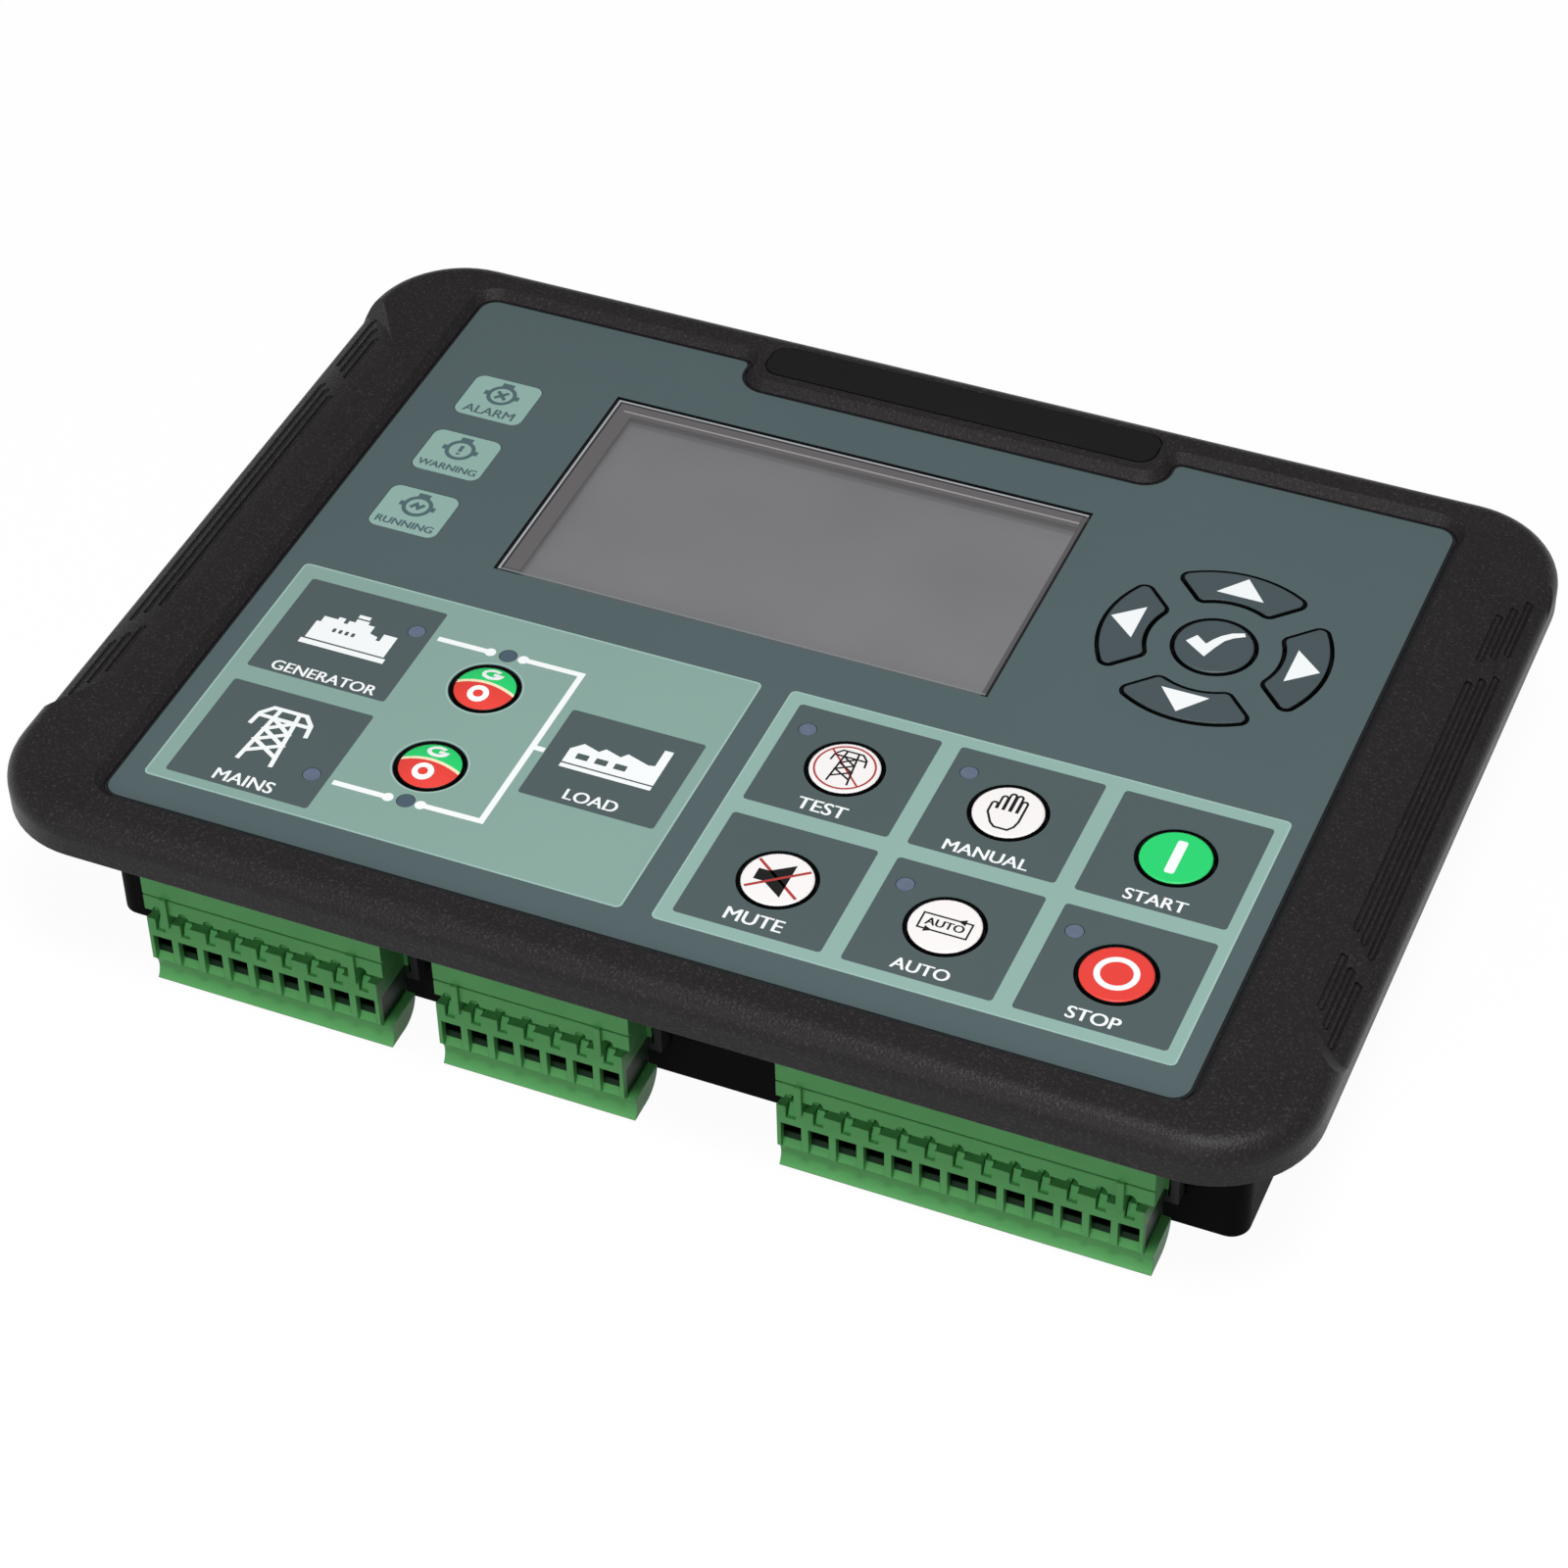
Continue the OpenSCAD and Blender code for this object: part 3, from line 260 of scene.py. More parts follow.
# %% [markdown]
# The case is charcoal plastic from a textured mould. Its grain is finer than a millimetre: paler specks
# stand on the crests, the gloss breaks up between them, and a low bump makes the long roundings sparkle.
# Modelled, such a grain would take millions of faces, so one noise drives all three. The rear housing is
# the same plastic from a smoother, darker mould.

# %% Moulded case
CHARCOAL = rgb(34, 32, 33)
CHARCOAL_PALE = rgb(66, 63, 65)
HOUSING_BLACK = rgb(12, 11, 11)
HOUSING_PALE = rgb(19, 18, 18)
GRAIN = 0.42
GRAIN_BITE = 0.6
GRAIN_STRENGTH = 0.7
GRAIN_SPREAD = 0.25
CLOUDS = 9.0
SPECKS = (0.5, 0.78)
SPECK_SHARE = 0.8
CLOUD_SHARE = 0.12
CASE_EDGE = 0.3


def grained_plastic(name, base, pale, depth_mm, rough, gloss):
    finish = Finish(name, Specular_IOR_Level=gloss)
    grain = finish.noise(GRAIN, FINE_DETAIL, GRAIN_BITE)
    clouds = finish.noise(CLOUDS)
    specks = finish.step(grain, *SPECKS)
    finish.paint(specks * SPECK_SHARE + clouds * CLOUD_SHARE, base, pale)
    finish.roughen(grain, rough, GRAIN_SPREAD)
    return finish.bump(grain, depth_mm, GRAIN_STRENGTH, edge_mm=CASE_EDGE)


bezel_finish = grained_plastic("charcoal_grain", CHARCOAL, CHARCOAL_PALE,
                               depth_mm=0.16, rough=0.355, gloss=0.12)
housing_finish = grained_plastic("housing_grain", HOUSING_BLACK, HOUSING_PALE,
                                 depth_mm=0.05, rough=0.555, gloss=0.02)
dress(bezel_finish, "front_bezel")
dress(housing_finish, "rear_housing")
print("case dressed")

# %% [markdown]
# The front film is a polyester sheet, printed from behind and lightly textured. Slate is the ground colour,
# and below its surface the cut edge is painted black as shade, so the holes for the keys read as dark lines.
# Height alone tells the two apart, so the film needs no second material.

# %% Film
MATT = 0.3
SLATE = rgb(81, 96, 98)
SLATE_DEEP = rgb(74, 89, 93)
GAP_SHADE_BLACK = (0.004, 0.004, 0.004, 1.0)
CUT = 0.06
FILM_GRAIN = 0.25
FILM_GRAIN_SHARE = 0.15
FILM_CLOUDS = 30.0
FILM_CLOUD_SHARE = 0.5
FILM_ROUGH = 0.42
FILM_SPREAD = 0.12
FILM_STRENGTH = 0.35
FINE_DEPTH = 0.02
film_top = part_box("front_film")[1].z


def film_print(name, colour, deep):
    finish = Finish(name, Specular_IOR_Level=MATT)
    fine = finish.noise(FILM_GRAIN)
    clouds = finish.noise(FILM_CLOUDS)
    finish.paint(clouds * FILM_CLOUD_SHARE + fine * FILM_GRAIN_SHARE, colour, deep)
    finish.roughen(fine, FILM_ROUGH, FILM_SPREAD)
    return finish.bump(fine, FINE_DEPTH, FILM_STRENGTH)


film_finish = film_print("film_slate", SLATE, SLATE_DEEP)
film_paint = film_finish.shader.inputs["Base Color"].links[0].from_socket
# Painted shade: below the film's top its cut edge is black, so the gaps round the keys read dark.
film_gap_shade = film_finish.axis("Z") < film_top - CUT * MM
film_finish.paint(film_gap_shade, Wire(film_finish, film_paint), GAP_SHADE_BLACK)
dress(film_finish, "front_film")
print("film top at", round(film_top / MM, 2), "mm")

# %% [markdown]
# The nameplate is a bare strip of glossy black. The display window is a clear pane over a grey glass. A
# pane that bends light would be slow to render clean, so this one is a thin grey veil that lets most of the
# display through. A slow haze keeps all three from looking like paper.

# %% Nameplate and display
SATIN = 0.5
PLATE_BLACK = rgb(12, 12, 14)
PLATE_SHEEN = rgb(18, 17, 20)
PLATE_HAZE = 14.0
PLATE_ROUGH = 0.22
PLATE_SPREAD = 0.12
PANE_GREY = rgb(158, 157, 159)
PANE_DEEP = rgb(138, 137, 140)
PANE_HAZE = 22.0
GLASS_GREY = rgb(130, 128, 130)
GLASS_DEEP = rgb(112, 111, 114)
GLASS_HAZE = 26.0

plate_finish = Finish("nameplate_gloss", Specular_IOR_Level=SATIN)
plate_haze = plate_finish.noise(PLATE_HAZE, FINE_DETAIL)
plate_finish.paint(plate_haze, PLATE_BLACK, PLATE_SHEEN)
plate_finish.roughen(plate_haze, PLATE_ROUGH, PLATE_SPREAD)
dress(plate_finish, "nameplate")

pane_finish = Finish("window_pane", Roughness=0.12, IOR=1.49, Alpha=0.3, Specular_IOR_Level=MATT)
pane_finish.paint(pane_finish.noise(PANE_HAZE, FINE_DETAIL), PANE_GREY, PANE_DEEP)
dress(pane_finish, "display_window")

glass_finish = Finish("display_glass", Roughness=0.3)
glass_finish.paint(glass_finish.noise(GLASS_HAZE, FINE_DETAIL), GLASS_GREY, GLASS_DEEP)
dress(glass_finish, "lcd_glass")
print("nameplate and display dressed")

# %% [markdown]
# The keys are moulded in silicone and lacquered on top. Below the film they are painted black as shade, so
# that the gap round each key reads as a dark ring. A breaker key has two halves, green above and red below,
# with a cream curve between them that bows upwards. The halves could be two pieces, but on the real key they
# are paint on one moulding, so the curve is worked out in the finish.

# %% Keys
KEY_DARK = rgb(70, 82, 86)
KEY_WHITE = rgb(235, 232, 231)
KEY_GREEN = rgb(42, 204, 110)
KEY_RED = rgb(220, 65, 57)
CREAM = rgb(236, 226, 190)
GAP_SHADE_RISE = 0.02
KEY_GRAIN = 0.35
KEY_ROUGH = 0.4
KEY_SPREAD = 0.1
KEY_EDGE = 0.25
FINE_STRENGTH = 0.3
SPLIT_RADIUS = 16.0
SPLIT_TOP = 0.7
SPLIT_HALF = 0.26
SPLIT_SOFT = 0.05


def middle(node):
    low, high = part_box(node)
    return (low + high) / 2


def key_lacquer(name, top_colour):
    finish = Finish(name, Specular_IOR_Level=MATT)
    fine = finish.noise(KEY_GRAIN)
    # Painted shade: the key is black from a hair above the film's top down, so its gap reads as a dark ring.
    key_gap_shade = finish.axis("Z") < film_top + GAP_SHADE_RISE * MM
    colour = top_colour(finish) if callable(top_colour) else top_colour
    finish.paint(key_gap_shade, colour, GAP_SHADE_BLACK)
    finish.roughen(fine, KEY_ROUGH, KEY_SPREAD)
    return finish.bump(fine, FINE_DEPTH, FINE_STRENGTH, edge_mm=KEY_EDGE)


def breaker_halves(node):
    """Gives the colour of a breaker key's top, worked out in the finish that asks for it."""
    place = middle(node)

    def colour(finish):
        across = (finish.axis("X") - place.x) / MM
        up = (finish.axis("Y") - place.y) / MM
        level = up + across * across * (1 / (2 * SPLIT_RADIUS)) - SPLIT_TOP
        halves = finish.mix(level > 0, KEY_RED, KEY_GREEN)
        over = finish.step(level, -SPLIT_HALF - SPLIT_SOFT, -SPLIT_HALF)
        under = finish.step(level, SPLIT_HALF + SPLIT_SOFT, SPLIT_HALF)
        return finish.mix(over * under, halves, CREAM)
    return colour


BREAKER_KEYS = ["key_generator_breaker", "key_mains_breaker"]
key_colours = {
    "dark": (KEY_DARK, ["key_up", "key_left", "key_down", "key_right", "key_enter"]),
    "white": (KEY_WHITE, ["key_test", "key_manual", "key_mute", "key_auto"]),
    "green": (KEY_GREEN, ["key_start"]),
    "red": (KEY_RED, ["key_stop"]),
}
for label, (colour, nodes) in key_colours.items():
    dress(key_lacquer(f"key_{label}", colour), *nodes)
for node in BREAKER_KEYS:
    dress(key_lacquer(f"{node}_lacquer", breaker_halves(node)), node)
print("keys dressed")

# %% [markdown]
# Small lenses carry the light of the diodes to the front. Unlit, the round ones look bluish grey, and the
# two on the lines of the diagram are darker. They share one piece, so their place across the panel picks
# the tone. The square status windows have the pale green of the printed frames.

# %% Lenses
SAGE = rgb(142, 174, 166)
SAGE_DEEP = rgb(132, 162, 153)
LENS_GREY = rgb(104, 114, 134)
LENS_DEEP = rgb(88, 98, 118)
LINE_LENS = rgb(74, 90, 102)
LENS_CLOUDS = 1.2
LINE_LENS_X = -40.2
LINE_LENS_REACH = 3.0

lens_finish = Finish("lens_grey", Roughness=0.3, Specular_IOR_Level=MATT)
lens_colour = lens_finish.mix(lens_finish.noise(LENS_CLOUDS), LENS_GREY, LENS_DEEP)
from_line = lens_finish.axis("X") / MM - LINE_LENS_X
on_line = from_line * from_line < LINE_LENS_REACH ** 2
lens_finish.paint(on_line, lens_colour, LINE_LENS)
dress(lens_finish, "indicator_lenses")
dress(film_print("status_sage", SAGE, SAGE_DEEP), "status_lenses")
print("lenses dressed")

# %% [markdown]
# The terminal plugs are moulded in green nylon with a satin skin. The levers are a paler green. Nylon from
# a worn mould has faint clouds, and its corners are slightly soft. Deep in the wire openings the shade is
# nearly black. Left green, the openings look shallow, so the walls behind the front face get painted shade,
# which also darkens each plug's end faces at that height.

# %% Terminal plugs
PLUG_GREEN = rgb(98, 174, 103)
PLUG_DEEP = rgb(87, 159, 92)
WELL_PAINTED_SHADE = rgb(12, 44, 20)
LEVER_GREEN = rgb(96, 184, 108)
WELL_BACK = 1.7
WELL_LOW = 4.4
WELL_TOP = 9.4
NYLON_GLOSS = 0.15
NYLON_CLOUDS = 6.0
NYLON_GRAIN = 0.4
NYLON_ROUGH = 0.42
NYLON_SPREAD = 0.12
NYLON_EDGE = 0.18


def nylon(name, colour, deep, well_shade=None):
    finish = Finish(name, Specular_IOR_Level=NYLON_GLOSS)
    clouds = finish.noise(NYLON_CLOUDS, FINE_DETAIL)
    fine = finish.noise(NYLON_GRAIN)
    skin = finish.mix(clouds, colour, deep)
    if well_shade:
        height = finish.axis("Z")
        inside = (height > WELL_LOW * MM) * (height < WELL_TOP * MM)
        behind = finish.axis("Y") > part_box("plug_9")[0].y + WELL_BACK * MM
        # Painted shade: behind the front face, at the height of the wire openings, the nylon is painted
        # nearly black.
        skin = finish.mix(inside * behind, skin, well_shade)
    finish.set(Base_Color=skin)
    finish.roughen(clouds, NYLON_ROUGH, NYLON_SPREAD)
    return finish.bump(fine, FINE_DEPTH, FINE_STRENGTH, edge_mm=NYLON_EDGE)


plug_finish = nylon("plug_green", PLUG_GREEN, PLUG_DEEP, WELL_PAINTED_SHADE)
dress(plug_finish, "plug_9", "plug_7", "plug_13")
dress(nylon("lever_green", LEVER_GREEN, PLUG_GREEN), "release_levers")
print("plugs dressed")

# %% [markdown]
# The pieces inside show only when the unit is taken apart, but they get true finishes too: lacquered
# boards, plated steel and tin, rubber, and moulded black or blue parts. They differ in a few numbers only,
# so one function makes them all from a table.

# %% Inner pieces
INNER_SPREAD = 0.2


def plain_finish(name, colour, deep, grain_mm, rough, metal):
    finish = Finish(name, Metallic=metal)
    grain = finish.noise(grain_mm, FINE_DETAIL)
    finish.paint(grain, colour, deep)
    finish.roughen(grain, rough, INNER_SPREAD)
    return finish.bump(grain, FINE_DEPTH, FINE_STRENGTH)


# Each row has two colours, the size of the grain, the roughness, the share of metal, and the pieces.
inner = {
    "board_lacquer": (rgb(32, 92, 58), rgb(24, 74, 46), 5.0, 0.35, 0.0, ["display_board", "main_board"]),
    "plated_steel": (rgb(172, 174, 178), rgb(140, 143, 148), 1.5, 0.32, 1.0,
                     ["housing_screws", "board_screws", "lcd_frame"]),
    "tinned_metal": (rgb(205, 202, 194), rgb(176, 173, 166), 1.2, 0.3, 1.0,
                     ["header_pins", "wire_clamps", "backup_cell"]),
    "black_moulding": (rgb(34, 34, 37), rgb(26, 26, 28), 1.5, 0.5, 0.0,
                       ["board_link", "header_9", "header_7", "header_13",
                        "processor", "power_coil", "cell_holder"]),
    "relay_blue": (rgb(38, 64, 96), rgb(30, 52, 80), 2.0, 0.45, 0.0, ["relays"]),
    "sleeve_dark": (rgb(42, 42, 54), rgb(32, 32, 42), 2.0, 0.4, 0.0, ["capacitors"]),
    "mat_silicone": (rgb(216, 213, 206), rgb(202, 199, 192), 1.5, 0.65, 0.0, ["key_mat"]),
    "gasket_rubber": (rgb(30, 30, 31), rgb(22, 22, 23), 1.0, 0.75, 0.0, ["panel_gasket"]),
    "backlight_white": (rgb(228, 228, 220), rgb(214, 214, 206), 4.0, 0.5, 0.0, ["lcd_backlight"]),
    "diode_amber": (rgb(238, 230, 196), rgb(220, 210, 170), 0.4, 0.25, 0.0, ["indicator_leds"]),
}
for name, (colour, deep, grain_mm, rough, metal, nodes) in inner.items():
    dress(plain_finish(name, colour, deep, grain_mm, rough, metal), *nodes)
print("inner finishes:", len(inner))

# %% [markdown]
# Under the keys lies a silicone mat with a dome for each key, and a pressed key flattens its dome. A mat in
# one piece couldn't follow one key alone, so a copy of it is cut level, just above its sheet. The sheet
# stays as it is, and each dome becomes a piece of its own, named after the nearest key.

# %% Key mat
MAT_SHEET = 1.0
MAT_CUT = 0.02
WELD = 1e-6
mat_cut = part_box("key_mat")[0].z + (MAT_SHEET + MAT_CUT) * MM
all_keys = [name for name in frame["nodes"] if name.startswith("key_") and name != "key_mat"]


def pick(piece):
    """Selects one piece and nothing else, and makes it the active one."""
    clear_selection()
    piece.select_set(True)
    bpy.context.view_layer.objects.active = piece


def open_whole(piece):
    """Opens a piece in edit mode, with all of it selected."""
    pick(piece)
    bpy.ops.object.mode_set(mode="EDIT")
    bpy.ops.mesh.select_all(action="SELECT")


def mat_half(name, upper):
    """A copy of the mat, cut level, with only its upper or its lower half."""
    piece = bpy.data.objects.new(name, frame["nodes"]["key_mat"].data.copy())
    bpy.context.scene.collection.objects.link(piece)
    open_whole(piece)
    bpy.ops.mesh.remove_doubles(threshold=WELD)
    bpy.ops.mesh.bisect(plane_co=(0, 0, mat_cut), plane_no=(0, 0, 1), threshold=WELD,
                        clear_inner=upper, clear_outer=not upper)
    bpy.ops.mesh.select_all(action="SELECT")
    bpy.ops.mesh.fill_holes(sides=0)
    bpy.ops.object.mode_set(mode="OBJECT")
    return piece


def settle_mat(piece):
    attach(piece, UNIT)
    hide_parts("key_mat")


settle_mat(mat_half("key_mat_sheet", False))
open_whole(mat_half("key_mat_domes", True))
bpy.ops.mesh.separate(type="LOOSE")
bpy.ops.object.mode_set(mode="OBJECT")
dome_pieces = list(bpy.context.selected_objects)
for piece in dome_pieces:
    points = [vertex.co for vertex in piece.data.vertices]
    centre = sum(points, Vector()) / len(points)
    key = min(all_keys, key=lambda name: (middle(name).xy - centre.xy).length)
    piece.name = f"{key}_dome"
    settle_mat(piece)
    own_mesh(piece)
print("domes:", len(dome_pieces))

# %% [markdown]
# All print is drawn from outlines: lists of points in millimetres. An arc is the base of most of them. A
# disc is a whole turn, a panel with round corners is four quarter turns, and a band of even width runs
# along both sides of a line.

# %% Outlines
FULL_TURN = 360
MITRE_LEAST = 0.35


def arc(x, y, radius, start, end, steps=8):
    turns = [math.radians(start + (end - start) * step / steps) for step in range(steps + 1)]
    return [(x + radius * math.cos(turn), y + radius * math.sin(turn)) for turn in turns]


def disc(x, y, radius, steps=48):
    return arc(x, y, radius, 0, FULL_TURN, steps)[:-1]


def oblong(x0, y0, x1, y1):
    return [(x0, y0), (x1, y0), (x1, y1), (x0, y1)]


def rounded(x0, y0, x1, y1, radius):
    points = []
    for index, (x, y) in enumerate(((x1, y1), (x0, y1), (x0, y0), (x1, y0))):
        side_x = radius if x == x0 else -radius
        side_y = radius if y == y0 else -radius
        start = index * QUARTER_TURN
        points += arc(x + side_x, y + side_y, radius, start, start + QUARTER_TURN)
    return points


def ribbon(points, width, closed=False):
    """The outline of a band of even width along a line, with mitred corners."""
    line = [Vector(point) for point in points]
    count = len(line)
    left, right = [], []
    for index, point in enumerate(line):
        before = line[index - 1] if closed or index else None
        after = line[(index + 1) % count] if closed or index < count - 1 else None
        ahead = (after - point).normalized() if after is not None else (point - before).normalized()
        behind = (point - before).normalized() if before is not None else ahead
        mitre = Vector((-(ahead + behind).y, (ahead + behind).x)).normalized()
        reach = width / 2 / max(MITRE_LEAST, mitre.dot(Vector((-ahead.y, ahead.x))))
        left.append(tuple(point + mitre * reach))
        right.append(tuple(point - mitre * reach))
    return [left, right] if closed else [left + right[::-1]]


def shifted(outline, x, y, scale=1.0):
    return [(x + px * scale, y + py * scale) for px, py in outline]


print("points in a disc:", len(disc(0, 0, 1)))

# %% [markdown]
# Print is ink: a layer far thinner than a hair, with crisp edges. It could be painted in a material, but a
# picture of it would blur when one comes close. So each field of colour is a flat filled curve with a
# little thickness, made a mesh and laid on the film. Curves take round corners and holes easily: the holes
# for the keys and the lenses are simply more outlines inside the first.

# %% Ink
INK = 0.03
LIFT = 0.0015
BOLD = 0.06


def stamp(outlines):
    """One flat piece of ink: the first outline filled, and each one inside it a hole."""
    curve = bpy.data.curves.new("ink", "CURVE")
    curve.dimensions = "2D"
    curve.fill_mode = "BOTH"
    curve.extrude = INK / 2 * MM
    for outline in outlines:
        spline = curve.splines.new("POLY")
        spline.points.add(len(outline) - 1)
        for point, (x, y) in zip(spline.points, outline):
            point.co = (x * MM, y * MM, 0, 1)
        spline.use_cyclic_u = True
    piece = bpy.data.objects.new("ink", curve)
    bpy.context.scene.collection.objects.link(piece)
    pick(piece)
    bpy.ops.object.convert(target="MESH")
    return bpy.context.object


def stamp_at(outlines, x, y, scale=1.0):
    """A piece of ink whose outlines are drawn round a point."""
    return stamp([shifted(outline, x, y, scale) for outline in outlines])


def word(text, x, y, width):
    """Plain lettering, centred on a point and set to a width."""
    clear_selection()
    bpy.ops.object.text_add()
    piece = bpy.context.object
    piece.data.body = text
    piece.data.size = MM
    piece.data.align_x = "CENTER"
    piece.data.align_y = "CENTER"
    bpy.context.view_layer.update()
    piece.data.size *= width * MM / piece.dimensions.x
    piece.data.extrude = INK / 2 * MM
    bpy.ops.object.convert(target="MESH")
    piece = bpy.context.object
    piece.location = (x * MM, y * MM, 0)
    bpy.ops.object.transform_apply(location=True, rotation=False, scale=False)
    return piece


def bold_word(text, x, y, width):
    """Heavier lettering: the word printed twice, a hair's breadth apart."""
    return [word(text, x + side * BOLD, y, width) for side in (-1, 1)]


def lay(name, pieces, level, finish, body):
    """Joins pieces of ink into one print and lays it with its underside at a height.

    Each piece lies a trace higher than the one before, so that no two faces share a plane where they cross.
    """
    clear_selection()
    for index, piece in enumerate(pieces):
        piece.location.z = index * LIFT * MM
        piece.select_set(True)
    bpy.context.view_layer.objects.active = pieces[0]
    if len(pieces) > 1:
        bpy.ops.object.join()
    sheet = bpy.context.view_layer.objects.active
    sheet.name = name
    sheet.data.name = name
    sheet.location = (0, 0, level + INK / 2 * MM)
    bpy.ops.object.transform_apply(location=True, rotation=False, scale=False)
    sheet.data.materials.clear()
    sheet.data.materials.append(finish.material)
    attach(sheet, body)
    print(name, len(sheet.data.polygons), "faces")
    return sheet


# %% [markdown]
# The large fields are printed behind the film and share its texture: pale green for the frames and the
# The other inks lie bare: white for lines and words, black and red for the signs on the keys, slate for the
# status words, a paler green for thin edges, and a near black that is painted shade along the film's edge.

# %% Inks
INK_GRAIN = 0.3
INK_ROUGH = 0.42
INK_SPREAD = 0.1


def ink(name, colour, deep):
    finish = Finish(name)
    fine = finish.noise(INK_GRAIN)
    finish.paint(fine, colour, deep)
    return finish.roughen(fine, INK_ROUGH, INK_SPREAD)


sage_ink = film_print("ink_sage", SAGE, SAGE_DEEP)
mimic_ink = film_print("ink_mimic", rgb(133, 163, 154), rgb(125, 154, 145))
tile_ink = film_print("ink_tile", rgb(79, 92, 93), rgb(73, 85, 87))
white_ink = ink("ink_white", rgb(241, 244, 244), rgb(234, 237, 237))
black_ink = ink("ink_black", rgb(24, 22, 24), rgb(18, 17, 18))
red_ink = ink("ink_red", rgb(176, 62, 58), rgb(160, 52, 50))
slate_ink = ink("ink_slate", rgb(80, 104, 108), rgb(72, 95, 99))
pale_ink = ink("ink_pale", rgb(158, 188, 179), rgb(150, 179, 170))
gap_shade_ink = ink("ink_gap_shade", rgb(20, 21, 22), rgb(14, 15, 16))
print("inks ready")

# %% [markdown]
# The lower half of the film has two printed groups. On the right a frame makes a cell for each function
# key, with a hole for the key and one for its lens. The frame and the cells could be one field with lines
# on it, but as two prints side by side neither shows through the other.

# %% Function keys' frame
FUNCTION_KEYS = ["key_test", "key_manual", "key_start", "key_mute", "key_auto", "key_stop"]
LIT_KEYS = ["key_test", "key_manual", "key_auto", "key_stop"]
KEY_COLLAR = 0.6
HOLE_MARGIN = 0.12
CORNER = 0.95
CELL_R = 0.6
LENS_HOLE = 1.4
SMALL_STEPS = 24
CELL_COLUMNS = ((4.2, 26.5), (29.4, 51.6), (54.4, 76.7))
CELL_ROWS = ((-30.6, -8.9), (-55.3, -33.6))
FRAME = (1.9, -57.6, 78.6, -6.6)
LED_OFFSET = (-8.2, 5.8)


def key_place(node):
    place = middle(node)
    return place.x / MM, place.y / MM


def hole_radius(node):
    """The film's hole round a key is as wide as the key without its hidden collar, and a little more."""
    low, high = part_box(node)
    return (high.x - low.x) / 2 / MM - KEY_COLLAR + HOLE_MARGIN


def key_hole(node):
    return disc(*key_place(node), hole_radius(node))


def lens_hole(x, y):
    return disc(x, y, LENS_HOLE, SMALL_STEPS)


cells = []
for low_y, high_y in CELL_ROWS:
    for low_x, high_x in CELL_COLUMNS:
        cells.append(rounded(low_x, low_y, high_x, high_y, CELL_R))
frame_print = [stamp([rounded(*FRAME, CORNER)] + cells)]
lay("print_function_frame", frame_print, film_top, sage_ink, UNIT)

cell_pieces = []
for cell, node in zip(cells, FUNCTION_KEYS):
    holes = [key_hole(node)]
    if node in LIT_KEYS:
        x, y = key_place(node)
        holes.append(lens_hole(x + LED_OFFSET[0], y + LED_OFFSET[1]))
    cell_pieces.append(stamp([cell] + holes))
lay("print_function_cells", cell_pieces, film_top, tile_ink, UNIT)

# %% [markdown]
# On the left lies the mimic diagram, which draws how the set and the mains feed the load. Its field is cut
# out for three tiles, the breaker keys and the lenses. Both groups have a slightly paler line along their
# edge, and so have the holes of the breaker keys. A thin band on top of the field gives that line.

# %% Mimic diagram's field
MIMIC = (-78.2, -57.6, -2.6, -6.9)
GENERATOR_TILE = (-75.5, -31.1, -52.7, -9.8)
MAINS_TILE = (-75.6, -55.7, -52.6, -34.4)
LOAD_TILE = (-26.2, -41.3, -4.9, -22.3)
LINE_LEDS = ((LINE_LENS_X, -15.1), (LINE_LENS_X, -48.9))
TILE_LEDS = ([(-55.3, -15.1)], [(-55.3, -48.9)], [])
TILE_R = 0.5
BAND = 0.28
ink_top = film_top + INK * MM


def edge_band(x0, y0, x1, y1):
    """A thin band along the inside of a printed field's outer edge."""
    inside = rounded(x0 + BAND, y0 + BAND, x1 - BAND, y1 - BAND, CORNER - BAND)
    return stamp([rounded(x0, y0, x1, y1, CORNER), inside])


tiles = [rounded(*tile, TILE_R) for tile in (GENERATOR_TILE, MAINS_TILE, LOAD_TILE)]
breaker_holes = [key_hole(node) for node in BREAKER_KEYS]
line_holes = [lens_hole(*led) for led in LINE_LEDS]
mimic_field = stamp([rounded(*MIMIC, CORNER)] + tiles + breaker_holes + line_holes)
lay("print_mimic_field", [mimic_field], film_top, mimic_ink, UNIT)

bands = [edge_band(*MIMIC), edge_band(*FRAME)]
for node in BREAKER_KEYS:
    bands.append(stamp([disc(*key_place(node), hole_radius(node) + BAND), key_hole(node)]))
lay("print_pale_edges", bands, ink_top, pale_ink, UNIT)

tile_pieces = [stamp([tile] + [lens_hole(*led) for led in leds]) for tile, leds in zip(tiles, TILE_LEDS)]
lay("print_tiles", tile_pieces, film_top, tile_ink, UNIT)

# %% [markdown]
# White ink lies on the fields: the lines of the mimic diagram with a dot at each contact, the words, and
# three pictures: an engine with its alternator, a lattice tower and a workshop with a saw-tooth roof. Each
# picture is drawn round its own middle in a function, so that it can be printed again elsewhere, the engine
# and the tower also at another size.

# %% Pictures
VENTS = 4
VENT_STEP = 1.3
VENT_R = 0.2
WINDOWS = 3
WINDOW_STEP = 3.0
WINDOW_R = 0.12


